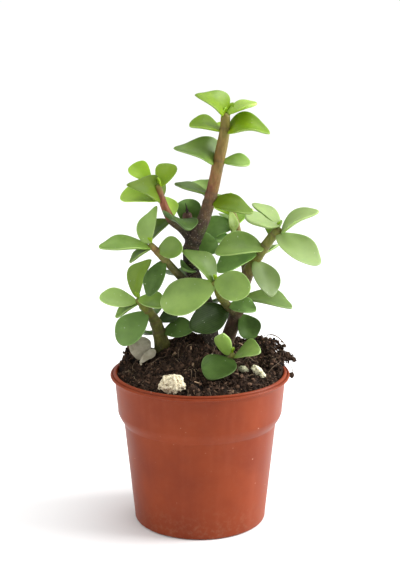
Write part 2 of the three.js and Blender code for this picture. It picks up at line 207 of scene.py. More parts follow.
def finished(name, bm, material, slot, smooth=True, replaced=()):
    """A piece from a bmesh in metres: named, shaded, given its finish and riding on the plant; its slot is
    not used.
    """
    mesh = mesh_of(name, bm)
    piece = placed(name, mesh)
    mesh.materials.append(material)
    mesh.polygons.foreach_set("use_smooth", [smooth] * len(mesh.polygons))
    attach(piece, "root")
    if replaced:
        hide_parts(*replaced)
    return piece


def outwards(bm, merge=1e-6):
    """Merges doubled corners, then turns every face of the closed shape outwards."""
    bmesh.ops.remove_doubles(bm, verts=bm.verts, dist=merge)
    bmesh.ops.recalc_face_normals(bm, faces=bm.faces)


def rounded(piece):
    """A live subdivision that rounds a finished piece."""
    modifier = piece.modifiers.new("rounding", "SUBSURF")
    modifier.levels = 1
    modifier.render_levels = 1


# ---------------------------------------------------------------- the shoots' curves

def catmull(points, per_span=14):
    """A dense polyline along the centripetal curve through the points."""
    points = [Vector(point) for point in points]
    spots = []
    for i in range(len(points) - 1):
        start, end = points[i], points[i + 1]
        before = points[i - 1] if i > 0 else 2 * start - end
        after = points[i + 2] if i + 2 < len(points) else 2 * end - start
        t0, t1, t2 = ((b - a).length ** 0.5 for a, b in ((before, start), (start, end), (end, after)))
        leave = ((start - before) / t0 - (end - before) / (t0 + t1) + (end - start) / t1) * t1
        arrive = ((end - start) / t1 - (after - start) / (t1 + t2) + (after - end) / t2) * t1
        steps = per_span + (1 if i == len(points) - 2 else 0)
        for j in range(steps):
            t = j / per_span
            spots.append((
                start * (2 * t ** 3 - 3 * t ** 2 + 1) + leave * (t ** 3 - 2 * t ** 2 + t)
                + end * (3 * t ** 2 - 2 * t ** 3) + arrive * (t ** 3 - t ** 2),
                (i + t) / (len(points) - 1)))
    return spots


class Limb:
    """One shoot as a curve: its place, direction and radius at a share of its length."""

    def __init__(self, shoot):
        self.spots = catmull(shoot["path"])
        self.shoot = shoot
        self.lengths = [0.0]
        for (a, _), (b, _) in zip(self.spots, self.spots[1:]):
            self.lengths.append(self.lengths[-1] + (b - a).length)
        self.length = self.lengths[-1]
        self.nodes = []

    def find(self, share):
        target = min(max(share, 0.0), 1.0) * self.length
        i = next((k for k, far in enumerate(self.lengths[1:]) if far >= target), len(self.spots) - 2)
        span = self.lengths[i + 1] - self.lengths[i]
        return i, (target - self.lengths[i]) / span

    def at(self, share):
        i, part = self.find(share)
        return self.spots[i][0].lerp(self.spots[i + 1][0], part)

    def tangent(self, share):
        return (self.at(share + 0.01) - self.at(share - 0.01)).normalized()

    def value(self, key, share):
        """One of the shoot's values at a share of its length, between those at its points."""
        values = self.shoot[key]
        i, part = self.find(share)
        place = lerp(self.spots[i][1], self.spots[i + 1][1], part) * (len(values) - 1)
        before = min(int(place), len(values) - 2)
        return lerp(values[before], values[before + 1], place - before)

    def radius(self, share):
        return self.value("radii", share)

    def nearest(self, point):
        """The share of the length that is closest to a point in millimetres."""
        i = min(range(len(self.spots)), key=lambda k: (self.spots[k][0] - point).length)
        return self.lengths[i] / self.length

    def add_node(self, share):
        """A ring on the stem, unless one is already close by."""
        if all(abs(share - other) * self.length > NODE_SPACING for other in self.nodes):
            self.nodes.append(share)


LIMBS = {name: Limb(shoot) for name, shoot in SHOOTS.items()}


# ---------------------------------------------------------------- shader helpers

def new_material(name, **constants):
    """A material with a Principled shader whose even values are set on its own sockets."""
    material = bpy.data.materials.new(name)
    material.use_nodes = True
    tree = material.node_tree
    shader = tree.nodes["Principled BSDF"]
    for socket, value in constants.items():
        shader.inputs[socket.replace("_", " ")].default_value = value
    return material, tree, shader


def feed(tree, socket, value):
    """Links a socket to another one, or sets its value; a colour comes without its alpha."""
    if isinstance(value, bpy.types.NodeSocket):
        tree.links.new(value, socket)
    else:
        socket.default_value = (*value, 1) if socket.type == "RGBA" else value


def add(tree, kind, inputs=None, **settings):
    """A node with its settings, and its inputs linked to sockets or set to values."""
    node = tree.nodes.new(kind)
    for key, value in settings.items():
        setattr(node, key, value)
    for key, value in (inputs or {}).items():
        feed(tree, node.inputs[key], value)
    return node


def attribute(tree, name):
    return add(tree, "ShaderNodeAttribute", attribute_name=name).outputs["Fac"]


def maths(tree, operation, a, b, clamp=False):
    return add(tree, "ShaderNodeMath", {0: a, 1: b}, operation=operation, use_clamp=clamp).outputs[0]


def times(tree, a, b, clamp=False):
    return maths(tree, "MULTIPLY", a, b, clamp)


def plus(tree, a, b, clamp=False):
    return maths(tree, "ADD", a, b, clamp)


def ramp(tree, value, low, high, to_low=0.0, to_high=1.0):
    """Maps a value smoothly from one range to another."""
    inputs = {"Value": value, "From Min": low, "From Max": high, "To Min": to_low, "To Max": to_high}
    return add(tree, "ShaderNodeMapRange", inputs, interpolation_type="SMOOTHSTEP").outputs["Result"]


def blend(tree, share, a, b):
    """A colour between a and b."""
    return add(tree, "ShaderNodeMix", {0: share, 6: a, 7: b}, data_type="RGBA").outputs[2]


def own_coordinates(tree, stretch=(1, 1, 1)):
    place = add(tree, "ShaderNodeTexCoord").outputs["Object"]
    return add(tree, "ShaderNodeMapping", {"Vector": place, "Scale": stretch}).outputs["Vector"]


def grain(tree, vector, scale, detail=3.0, roughness=0.55):
    inputs = {"Vector": vector, "Scale": scale, "Detail": detail, "Roughness": roughness}
    return add(tree, "ShaderNodeTexNoise", inputs).outputs["Fac"]


def new_group(name, inputs, outputs):
    """An empty shader group with named sockets. Returns it, its input node and its output node."""
    group = bpy.data.node_groups.new(name, "ShaderNodeTree")
    for direction, sockets in (("INPUT", inputs), ("OUTPUT", outputs)):
        for label, kind in sockets:
            group.interface.new_socket(label, in_out=direction, socket_type=f"NodeSocket{kind}")
    return group, group.nodes.new("NodeGroupInput"), group.nodes.new("NodeGroupOutput")


def finish_shader(tree, shader, colour, roughness, height, distance, strength=1.0):
    tree.links.new(colour, shader.inputs["Base Color"])
    tree.links.new(roughness, shader.inputs["Roughness"])
    inputs = {"Height": height, "Distance": distance, "Strength": strength}
    bump = add(tree, "ShaderNodeBump", inputs)
    tree.links.new(bump.outputs["Normal"], shader.inputs["Normal"])


def plain_material(name, dark, light, scale, roughness, distance=0.0002):
    """A dry, uneven natural finish between two colours."""
    material, tree, shader = new_material(name, Specular_IOR_Level=0.25)
    here = own_coordinates(tree)
    patches = grain(tree, here, scale, 4.0, 0.6)
    fine = grain(tree, here, scale * 6, 3.0, 0.6)
    share = plus(tree, ramp(tree, patches, 0.3, 0.7), attribute(tree, "tone"), clamp=True)
    colour = blend(tree, share, dark, light)
    rough = ramp(tree, fine, 0.2, 0.8, roughness - 0.08, roughness + 0.05)
    finish_shader(tree, shader, colour, rough, plus(tree, patches, fine), distance, 0.7)
    return material


# ---------------------------------------------------------------- leaf finish

def leaf_skin_group():
    """The waxy skin of a fleshy leaf: deeper in the middle, with a painted highlight on the margin and a thin
    bloom.
    """
    group, given, out = new_group(
        "leaf_skin",
        [("Deep", "Color"), ("Light", "Color"), ("Pale", "Color"), ("Bloom", "Float"), ("Lines", "Float")],
        [("Color", "Color"), ("Roughness", "Float"), ("Height", "Float")])
    g = given.outputs
    here = own_coordinates(group)
    along, side = attribute(group, "along"), attribute(group, "side")
    upper, tone, pale = attribute(group, "upper"), attribute(group, "tone"), attribute(group, "pale")

    clouds = grain(group, here, 130, 2.0)
    mottle = grain(group, here, 620, 3.0)
    fine = grain(group, here, 3200, 2.0, 0.6)
    light_foot = ramp(group, along, 0.0, 0.3, 0.4, 0.0)
    lightness = plus(group, ramp(group, clouds, 0.25, 0.75, 0.25, 0.75), light_foot)
    lightness = plus(group, lightness, ramp(group, mottle, 0.35, 0.65, -0.06, 0.06), clamp=True)
    colour = blend(group, lightness, g["Deep"], g["Light"])
    # Pale whitens the skin: partly the waxy bloom and partly a painted sheen of light.
    colour = blend(group, pale, colour, g["Pale"])

    under = maths(group, "SUBTRACT", 1.0, upper)
    colour = blend(group, times(group, under, 0.3), colour, g["Light"])
    # A painted highlight: the thin margin is whitened where it would catch the light.
    margin = ramp(group, side, 0.90, 0.99)
    colour = blend(group, times(group, margin, 0.4), colour, g["Pale"])

    patch = times(group, ramp(group, clouds, 0.2, 0.8, 0.5, 1.0), ramp(group, side, 1.0, 0.2))
    bloom = times(group, times(group, patch, ramp(group, along, 0.1, 0.7)), g["Bloom"])
    colour = blend(group, bloom, colour, (0.38, 0.52, 0.17))
    # Tone brightens or darkens the whole skin: partly the leaf's own shade, partly painted light and shade.
    brightness = plus(group, 1.0, tone)
    colour = add(group, "ShaderNodeHueSaturation", {"Value": brightness, "Color": colour}).outputs["Color"]
    dots = add(group, "ShaderNodeTexVoronoi", {"Vector": here, "Scale": 700.0})
    pores = ramp(group, dots.outputs["Distance"], 0.2, 0.08)
    chosen = ramp(group, grain(group, here, 500, 1.0), 0.62, 0.68)
    speckled = plus(group, 0.6, times(group, tone, 0.5))
    specks = times(group, times(group, pores, chosen), speckled, clamp=True)
    colour = blend(group, specks, colour, (0.75, 0.80, 0.62))

    across = plus(group, attribute(group, "across"), times(group, along, 0.15))
    drawn = add(group, "ShaderNodeCombineXYZ", {"X": across, "Y": times(group, along, 0.2)}).outputs[0]
    waves = {"Vector": drawn, "Scale": 2.6, "Distortion": 3.0, "Detail": 2.0, "Detail Scale": 2.0}
    stripes = add(group, "ShaderNodeTexWave", waves).outputs["Fac"]
    lines = times(group, ramp(group, stripes, 0.2, 0.9), g["Lines"])
    colour = blend(group, times(group, lines, 0.3), colour, g["Light"])

    height = plus(group, times(group, fine, 0.35), times(group, mottle, 0.6))
    height = plus(group, height, times(group, lines, 0.6))
    roughness = plus(group, ramp(group, bloom, 0.0, 0.3, 0.36, 0.5), times(group, mottle, 0.12))
    for label, value in (("Color", colour), ("Roughness", roughness), ("Height", height)):
        group.links.new(value, out.inputs[label])
    return group


LEAF_SKIN = leaf_skin_group()


def leaf_material(name, deep, light, pale, bloom, lines, glow, shine):
    material, tree, shader = new_material(
        name, Specular_IOR_Level=shine, Subsurface_Weight=glow, Subsurface_Scale=0.0016,
        Subsurface_Radius=(0.7, 1.0, 0.25))
    values = {"Deep": deep, "Light": light, "Pale": pale, "Bloom": bloom, "Lines": lines}
    skin = add(tree, "ShaderNodeGroup", values, node_tree=LEAF_SKIN).outputs
    finish_shader(tree, shader, skin["Color"], skin["Roughness"], skin["Height"], 0.00012, 0.35)
    return material


# For each age of leaf: its deep, light and pale colours, then its bloom, lines, glow and shine.
LEAF_AGES = {
    "young_leaf": ((0.15, 0.29, 0.003), (0.27, 0.43, 0.008), (0.43, 0.58, 0.16), 0.02, 0.04, 0.25, 0.24),
    "mature_leaf": ((0.10, 0.19, 0.025), (0.195, 0.315, 0.050), (0.45, 0.58, 0.24), 0.12, 0.08, 0.2, 0.28),
    # The old leaves are darker for their age and also as painted shade, for the low leaves in the crown's
    # shadow.
    "old_leaf": ((0.032, 0.064, 0.012), (0.085, 0.160, 0.034), (0.22, 0.33, 0.12), 0.04, 0.35, 0.1, 0.1),
}
LEAF_FINISH = {age: leaf_material(age, *values) for age, values in LEAF_AGES.items()}


# ---------------------------------------------------------------- leaves

# How single leaves, by shoot, depart from the common shape and colour. Belly moves the broadest place
# towards the foot, stalk narrows the foot, broader widens the blade, fold keels it along the middle line,
# point sharpens the tip, and bow shifts the blade sideways until, at half, one edge runs straight from foot
# to tip. Skew slides one edge towards the foot and the other towards the tip. Tone lightens or, below zero,
# darkens the skin: partly the leaf's own shade and partly painted light and shade, lighter for leaves in the
# light and darker for leaves in the shade of others. Pale whitens it: partly the waxy bloom and partly a
# painted sheen of light, strongest on the leaves to the right.
LEAF_TRIM = {
    "leader": {
        "1a": dict(belly=0.4, stalk=0, broader=1.16, point=0.5, bow=-0.16, skew=0.6, tone=-0.35),
        "1b": dict(belly=0.3, point=0.15, tone=0.1, pale=0.4),
        "2a": dict(broader=1.1, point=0, bow=0, tone=-0.15),
        "2b": dict(belly=0.3, stalk=0.2, broader=1.02, point=0.3, bow=0.05, skew=-0.3, tone=-0.3),
        "3a": dict(belly=0.4, stalk=0, broader=1.12, point=0.6, bow=-0.15, skew=0.45, tone=-0.2),
        "3b": dict(point=0, tone=0.2),
        "4a": dict(belly=0.3, point=0.4, tone=-0.28),
        "4b": dict(belly=0.3, stalk=0.3, point=0.45, bow=-0.15, skew=-0.4, tone=-0.52),
        "5a": dict(tone=0.9),
        "6a": dict(belly=0.3, point=0.3, tone=0.2),
    },
    "red": {
        "1a": dict(belly=-0.5, stalk=0.95, broader=0.95, point=0, bow=-0.05, tone=0.2, pale=0.08),
        "1b": dict(belly=0.05, broader=1.05, point=0, tone=-0.2, pale=0.05),
        "2a": dict(belly=0.4, stalk=0.1, broader=1.1, point=0.5, bow=-0.25, skew=0.35, tone=-0.55, pale=0.1),
        "2b": dict(point=0.05, tone=0.2, pale=0.25),
        "3a": dict(belly=0.3, point=0.3, tone=-0.35),
        "3b": dict(belly=0.4, stalk=0, broader=1.3, fold=0, tone=-0.2),
        "3c": dict(belly=0.2, broader=1.3, point=0.1, tone=0.6, pale=0.3),
    },
    "stub": {
        "1a": dict(belly=0.2, stalk=0.2, fold=0.1, point=0, tone=0.7),
    },
    "mid": {
        "1a": dict(belly=0.3, point=0.35, bow=0, tone=0.1),
        "1b": dict(belly=0.35, stalk=0.35, point=0.5, bow=0.35, skew=-0.1, tone=0.15, pale=0.25),
        "2a": dict(belly=0.3, point=0.5, tone=-0.3),
        "2b": dict(stalk=0.3, point=0, bow=0.05, tone=-0.18),
        "3a": dict(belly=0.3, point=0.2, tone=0.1),
    },
    "left": {
        "1a": dict(belly=0.15, point=0.05, tone=0.4, pale=0.25),
        "1b": dict(belly=0.2, stalk=0.4, broader=1.05, point=0.45, bow=0.45, tone=-0.45, pale=0.1),
        "2b": dict(belly=0.2, broader=1.1, point=0.1, tone=0.2),
        "3a": dict(stalk=0.35, point=0.05, tone=0.5, pale=0.22),
        "3b": dict(tone=-0.6),
        "4a": dict(belly=0.2, point=0.1, tone=0.15, pale=0.08),
    },
    "right": {
        "1a": dict(belly=0.35, stalk=0.2, point=0.2, tone=-0.05, pale=0.45),
        "1b": dict(belly=0, stalk=0.6, broader=1.2, point=0, tone=-0.2, pale=0.6),
        "2a": dict(stalk=0.3, point=0.2, tone=-0.05, pale=0.45),
        "2b": dict(stalk=0.4, point=0.2, bow=-0.12, tone=-0.22, pale=0.45),
        "3a": dict(belly=0.3, stalk=0.15, broader=0.95, point=0.25, tone=0.1, pale=0.12),
        "3b": dict(belly=0.3, point=0.1, tone=2, pale=0.15),
        "4a": dict(belly=0.25, stalk=0.3, broader=1.05, point=0.15, tone=-0.42, pale=0.3),
        "5a": dict(belly=0.3, point=0.4, tone=-0.3),
        "6a": dict(belly=0.2, point=0.1, tone=-0.02),
    },
    "front": {
        "1a": dict(belly=0.15, point=0.4, bow=-0.15, skew=0.3, tone=-0.3),
        "1b": dict(belly=0.2, stalk=0.35, point=0, tone=-0.05, pale=0.1),
        "2a": dict(stalk=0.4, point=0.05, bow=0.08, tone=0.1, pale=0.2),
        "3a": dict(belly=0.2, point=0.1, tone=-0.68),
        "3b": dict(belly=0.2, tone=0.9, pale=0.15),
    },
    "back": {
        "1a": dict(belly=0.3, point=0.3, tone=0.25),
        "1b": dict(belly=0.2, point=0.4, tone=-0.35, pale=0.7),
        "2a": dict(tone=0.9),
        "2b": dict(belly=0.3, broader=1.1, tone=0.9, pale=0.05),
        "3a": dict(tone=1.5, pale=0.5),
    },
    "low": {
        "1a": dict(belly=0.3, stalk=0.3, point=0.3, bow=-0.3, tone=0.15, pale=0.1),
        "1b": dict(belly=-0.2, point=0.3, bow=0.15, tone=-0.15, pale=0.1),
        "2a": dict(belly=0.15, stalk=0.25, broader=0.88, point=0.05, bow=0, tone=-0.3),
    },
}


PACKED_RIDGES = 8  # ridges that meet at each end of a packed blade
PACKED_RINGS = 4  # rings from an end to the one that is measured
PACKED_SHARE = 0.85  # that ring's width as a share of the leaf's breadth
PACKED_BEAK = 1.03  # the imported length, with its beak, as a share of the leaf's length
PACKED_LIFT = 0.22  # how far the middle sheet lies above the middle of the thickness


class LeafFrame:
    """Where a leaf stands: its foot and tip, the way across it and its upper side, all in millimetres."""

    def __init__(self, foot, tip, across, breadth, arch):
        self.foot = foot
        self.along = (tip - foot).normalized()
        self.length = (tip - foot).length
        self.across = (across - self.along * across.dot(self.along)).normalized()
        self.up = self.along.cross(self.across)
        self.breadth = breadth
        self.arch = arch


def frame_of_node(name, limb):
    """Reads a leaf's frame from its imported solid: two poles where its ridges meet, and rings between."""
    bm = bmesh.new()
    bm.from_mesh(frame["nodes"][name].data)
    scaled(bm, 1 / MM)
    bmesh.ops.remove_doubles(bm, verts=bm.verts, dist=1e-3)
    poles = [v for v in bm.verts if len(v.link_edges) == PACKED_RIDGES]
    poles.sort(key=lambda v: (limb.at(limb.nearest(v.co)) - v.co).length)
    foot, tip = poles[0], poles[-1]
    ring, seen = {foot}, {foot}
    for _ in range(PACKED_RINGS):
        ring = {e.other_vert(v) for v in ring for e in v.link_edges} - seen
        seen |= ring
    middle = [v.co.copy() for v in ring]
    along = (tip.co - foot.co).normalized()
    pairs = [(a, b) for i, a in enumerate(middle) for b in middle[i + 1:]]
    left, right = max(pairs, key=lambda pair: (pair[0] - pair[1]).length)
    across = (left - right).normalized()
    up = along.cross(across)
    core = sorted(middle, key=lambda p: abs((p - (left + right) / 2).dot(across)))[:2]
    centre = (core[0] + core[1]) / 2
    if ((left + right) / 2 - centre).dot(up) < 0:
        across = -across
        up = -up
    rise = (centre - foot.co).dot(up) + PACKED_LIFT
    leaf_frame = LeafFrame(foot.co.copy(), tip.co.copy(), across, (left - right).length / PACKED_SHARE, 0)
    leaf_frame.length /= PACKED_BEAK
    leaf_frame.arch = rise / leaf_frame.length
    bm.free()
    return leaf_frame


def frame_on_limb(limb, share, heading, rise, reach, roll, breadth, arch):
    """A leaf's frame from its row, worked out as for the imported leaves."""
    heading, rise, roll = map(math.radians, (heading, rise, roll))
    outward = Vector((math.cos(heading) * math.cos(rise), math.sin(heading) * math.cos(rise), math.sin(rise)))
    tangent = limb.tangent(share)
    sideways = (outward - tangent * outward.dot(tangent)).normalized()
    foot = limb.at(share) + sideways * limb.radius(share)
    tip = limb.at(share) + outward * reach
    along = (tip - foot).normalized()
    across = Vector((0, 0, 1)).cross(along).normalized()
    across.rotate(Quaternion(along, -roll))
    return LeafFrame(foot, tip, across, breadth * reach, arch)


def value_layers(bm, *keys):
    """Layers that hold one value at each corner, for the finishes to read."""
    return {key: bm.verts.layers.float.new(key) for key in keys}


def leaf(name, leaf_frame, slot, replaced=(), sides=28, rings=22):
    """A fleshy blade: a ball drawn out along the leaf's frame, cupped, with a rounded thin margin."""
    rng = random.Random(name)
    shoot, _, label = name.partition("_leaf_")
    trim = LEAF_TRIM.get(shoot, {}).get(label, {})
    length, breadth = leaf_frame.length, leaf_frame.breadth * trim.get("broader", 1.0)
    belly = 1 - trim.get("belly", 0.1)
    stalk = trim.get("stalk", 0.45)
    fold = trim.get("fold", rng.uniform(-0.01, 0.05))
    point = trim.get("point", rng.uniform(0.1, 0.3))
    twist = rng.uniform(-0.14, 0.14)
    bow = trim.get("bow", rng.uniform(-0.04, 0.04))
    skew = trim.get("skew", 0.0)
    cup = LEAF_CUP * rng.uniform(0.85, 1.15)
    wave = rng.uniform(0, 50)
    # Besides the leaf's own colour, the trim's tone carries painted light and shade and its pale a painted
    # sheen.
    tone = rng.uniform(-0.05, 0.05) + trim.get("tone", 0.0)
    pale = trim.get("pale", 0.0)
    plumpness = min(1, 0.35 + breadth / 14)

    bm = bmesh.new()
    bmesh.ops.create_uvsphere(bm, u_segments=sides, v_segments=rings, radius=1)
    # Along runs from foot to tip and across from edge to edge; side is 1 at the margin and upper 1 on top.
    layers = value_layers(bm, "along", "side", "across", "upper", "tone", "pale")
    for v in bm.verts:
        x, thick, z = v.co
        along = (1 - z) / 2
        ring = math.hypot(x, thick)
        foot = 1 - stalk * (1 - along) ** 2
        half = math.sqrt(max(0.0, along ** belly * (1 - along ** belly))) * foot * breadth
        half *= 1 - point * max(0.0, (along - 0.6) / 0.4) ** 2
        across = x / ring if ring > 1e-6 else 0.0
        aside = across * half
        upper = thick > 0
        skin = thick / math.sqrt(ring) if ring > 1e-6 else 0.0
        skin *= LEAF_THICKNESS * (LEAF_UPPER if upper else 1 - LEAF_UPPER) * (0.6 + 0.4 * foot) * plumpness
        rim = 2 * abs(aside) / breadth
        lift = cup * breadth * rim ** 2 + fold * breadth * rim
        lift += 4 * leaf_frame.arch * along * (1 - along) * length
        lift += 0.03 * breadth * noise.noise(Vector((along * 2.2, x * 1.4, wave)))
        beak = (0.03 + 0.05 * point) * smoothstep(0.85, 1.0, along)
        turn = twist * along
        aside += 2 * bow * half
        reach = (along + beak) * length - LEAF_ROOTING * (1 - along) ** 9 + skew * aside
        height = skin + lift
        y = aside * math.cos(turn) - height * math.sin(turn)
        up = aside * math.sin(turn) + height * math.cos(turn)
        margin = lerp(abs(across), 1.0, smoothstep(0.93, 1.0, along))
        v[layers["along"]] = along
        v[layers["side"]] = margin * smoothstep(0.02, 0.2, along)
        v[layers["across"]] = x
        v[layers["upper"]] = 1.0 if upper else 0.0
        v[layers["tone"]] = tone
        v[layers["pale"]] = pale
        spot = leaf_frame.foot + leaf_frame.along * reach + leaf_frame.across * y + leaf_frame.up * up
        v.co = spot * MM
    outwards(bm, 1e-7)
    piece = finished(name + "_blade", bm, LEAF_FINISH[slot], slot, replaced=replaced)
    rounded(piece)


def all_leaves():
    """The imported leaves, the small ones behind them, and two unopened leaves on the tip of each shoot."""
    for name in frame["nodes"]:
        if "_leaf_" not in name:
            continue
        limb = LIMBS[name.split("_leaf_")[0]]
        leaf_frame = frame_of_node(name, limb)
        limb.add_node(limb.nearest(leaf_frame.foot))
        leaf(name, leaf_frame, SLOT_OF[name], replaced=(name,))
    for shoot, label, share, *row, slot in SMALL_LEAVES:
        limb = LIMBS[shoot]
        leaf(f"{shoot}_leaf_{label}", frame_on_limb(limb, share, *row), slot, sides=20, rings=16)
        limb.add_node(share)
    for shoot, limb in LIMBS.items():
        if shoot == "stub":
            continue
        heading = random.Random(shoot).uniform(0, 180)
        for k in range(2):
            row = (0.995, heading + 180 * k, 78, 3.2, 0, 0.5, 0.05)
            leaf(f"{shoot}_bud_{k + 1}", frame_on_limb(limb, *row), "young_leaf", sides=12, rings=10)


all_leaves()


# ---------------------------------------------------------------- stem finish

def stem_material():
    material, tree, shader = new_material("stem_skin", Specular_IOR_Level=0.2, Subsurface_Weight=0.06,
                                          Subsurface_Scale=0.001, Subsurface_Radius=(1.0, 0.6, 0.3))
    here = own_coordinates(tree)
    drawn = own_coordinates(tree, (1, 1, 0.22))
    woody_and_shade, blush, scar = attribute(tree, "woody_and_shade"), attribute(tree, "blush"), attribute(tree, "scar")
    streaks = grain(tree, drawn, 900, 4.0, 0.6)
    patches = grain(tree, here, 240, 3.0)
    age = plus(tree, woody_and_shade, ramp(tree, patches, 0.3, 0.7, -0.16, 0.16), clamp=True)
    soft = blend(tree, ramp(tree, streaks, 0.3, 0.7), (0.12, 0.14, 0.022), (0.19, 0.19, 0.038))
    reddened = blend(tree, ramp(tree, streaks, 0.3, 0.7), (0.18, 0.052, 0.024), (0.30, 0.11, 0.055))
    red_share = times(tree, blush, ramp(tree, patches, 0.25, 0.6, 0.6, 1.0), clamp=True)
    flesh = blend(tree, red_share, soft, reddened)
    bark = blend(tree, ramp(tree, streaks, 0.35, 0.7), (0.028, 0.022, 0.014), (0.085, 0.058, 0.038))
    mossy = blend(tree, ramp(tree, patches, 0.4, 0.7), bark, (0.060, 0.075, 0.022))
    purplish = blend(tree, 0.5, bark, (0.16, 0.075, 0.065))
    bark = blend(tree, times(tree, blush, 0.7, clamp=True), mossy, purplish)
    # Past 1 the woody value paints the bark darker towards black: painted shade on the lower trunk and fork.
    bark = blend(tree, ramp(tree, woody_and_shade, 1.0, 1.6, 0.0, 0.75), bark, (0.012, 0.009, 0.007))
    colour = blend(tree, ramp(tree, age, 0.15, 0.85), flesh, bark)
    colour = blend(tree, times(tree, scar, 0.55), colour, (0.10, 0.065, 0.035))
    corky = times(tree, ramp(tree, grain(tree, here, 1400, 2.0), 0.6, 0.72), woody_and_shade)
    colour = blend(tree, times(tree, corky, 0.5), colour, (0.36, 0.30, 0.24))
    height = plus(tree, times(tree, streaks, 0.7), times(tree, patches, 0.4))
    roughness = ramp(tree, age, 0.1, 0.9, 0.42, 0.72)
    finish_shader(tree, shader, colour, roughness, height, 0.00025, 0.6)
    return material


STEM_SKIN = stem_material()


# ---------------------------------------------------------------- stems

def limb_tube(bm, layers, key, is_branch, sides=24, step=0.55):
    """A sheet rolled into a tube along the limb, swollen into a ring at each node and closed at the tip."""
    limb = LIMBS[key]
    rings = max(24, int(limb.length / step))
    grown = bmesh.ops.create_grid(bm, x_segments=sides, y_segments=rings, size=1)["verts"]
    frames = []
    spin = Vector((1, 0, 0))
    for k in range(rings + 1):
        tangent = limb.tangent(k / rings)
        spin = (spin - tangent * spin.dot(tangent)).normalized()
        frames.append((tangent, spin.copy(), tangent.cross(spin)))
    for v in grown:
        x, y, _ = v.co
        k = round((y + 1) / 2 * rings)
        share = k / rings
        _, right, ahead = frames[k]
        angle = math.pi * x
        height = share * limb.length
        radius = limb.radius(share)
        past = [(share - node) * limb.length for node in limb.nodes]
        ring = max((math.exp(-(far / RING_WIDTH) ** 2) for far in past), default=0.0)
        scar = max((math.exp(-((far - SCAR_PLACE) / SCAR_WIDTH) ** 2) for far in past), default=0.0)
        bump = noise.noise(Vector((math.cos(angle) * 1.2, math.sin(angle) * 1.2, height * 0.16 + len(key))))
        radius *= 1 + RING_SWELL * ring - SCAR_DEPTH * scar + 0.05 * bump
        if is_branch:
            radius *= 1 + FORK_SWELL * math.exp(-height / FORK_LENGTH)
        left = (1 - share) * limb.length
        cap = radius * TIP_ROUNDING
        if left < cap:
            radius *= math.sqrt(max(0.0, 1 - (1 - left / cap) ** 2))
        outward = right * math.cos(angle) + ahead * math.sin(angle)
        v.co = (limb.at(share) + outward * radius) * MM
        v[layers["woody_and_shade"]] = limb.value("woody_and_shade", share)
        v[layers["blush"]] = limb.value("blush", share) * (1 - 0.25 * outward.x)
        v[layers["scar"]] = scar


def stem(name):
    bm = bmesh.new()
    layers = value_layers(bm, "woody_and_shade", "blush", "scar")
    main, *branches = STEMS[name]
    limb_tube(bm, layers, main, False)
    for branch in branches:
        limb_tube(bm, layers, branch, True)
    bmesh.ops.remove_doubles(bm, verts=bm.verts, dist=1e-6)
    bmesh.ops.holes_fill(bm, edges=[e for e in bm.edges if e.is_boundary], sides=0)
    bmesh.ops.recalc_face_normals(bm, faces=bm.faces)
    finished(name + "_skin", bm, STEM_SKIN, "stem", replaced=(name,))


def withered_tip():
    """The dead, shrivelled end that stands on the cut-back shoot."""
    limb = LIMBS["stub"]
    bm = bmesh.new()
    tone = bm.verts.layers.float.new("tone")
    bmesh.ops.create_uvsphere(bm, u_segments=12, v_segments=16, radius=1)
    for v in bm.verts:
        rise = (v.co.z + 1) / 2
        girth = lerp(1.0, 0.25, smoothstep(0.0, 0.7, rise)) * (1 + 0.4 * noise.noise(v.co * 2.5))
        spot = Vector((v.co.x * girth - 0.9 * rise ** 2, v.co.y * girth, 5.4 * rise - 0.6))
        v.co = (limb.at(1.0) + Vector((0.1, -1.0, -0.3)) + spot) * MM
        v[tone] = -0.2
    finish = plain_material("withered_tip", (0.012, 0.009, 0.007), (0.06, 0.04, 0.03), 600, 0.8)
    finished("withered_tip", bm, finish, "stem")


for stem_name in STEMS:
    stem(stem_name)
withered_tip()


# ---------------------------------------------------------------- pot

def arc(centre, radius, start, end, steps):
    """Points on a rounded stretch of the pot's profile, as (radius, height); angles in degrees."""
    points = []
    for k in range(steps + 1):
        angle = math.radians(lerp(start, end, k / steps))
        points.append((centre[0] + radius * math.cos(angle), centre[1] + radius * math.sin(angle)))
    return points


def straight(start, end, steps):
    """Points along a straight stretch of the profile, with both its ends."""
    return [(lerp(start[0], end[0], k / steps), lerp(start[1], end[1], k / steps)) for k in range(steps + 1)]


def shoulder(share):
    """A place on the rounded shoulder between the tapered body and the collar."""
    bulge = (share + math.sin(share * math.pi / 2)) / 2
    return (lerp(WAIST[0], COLLAR_FOOT[0], bulge), lerp(WAIST[1], COLLAR_FOOT[1], share))


def from_rim(inwards, below):
    """A place on the profile, measured from the rim's outer top corner."""
    return (RIM_RADIUS - inwards, POT_HEIGHT - below)


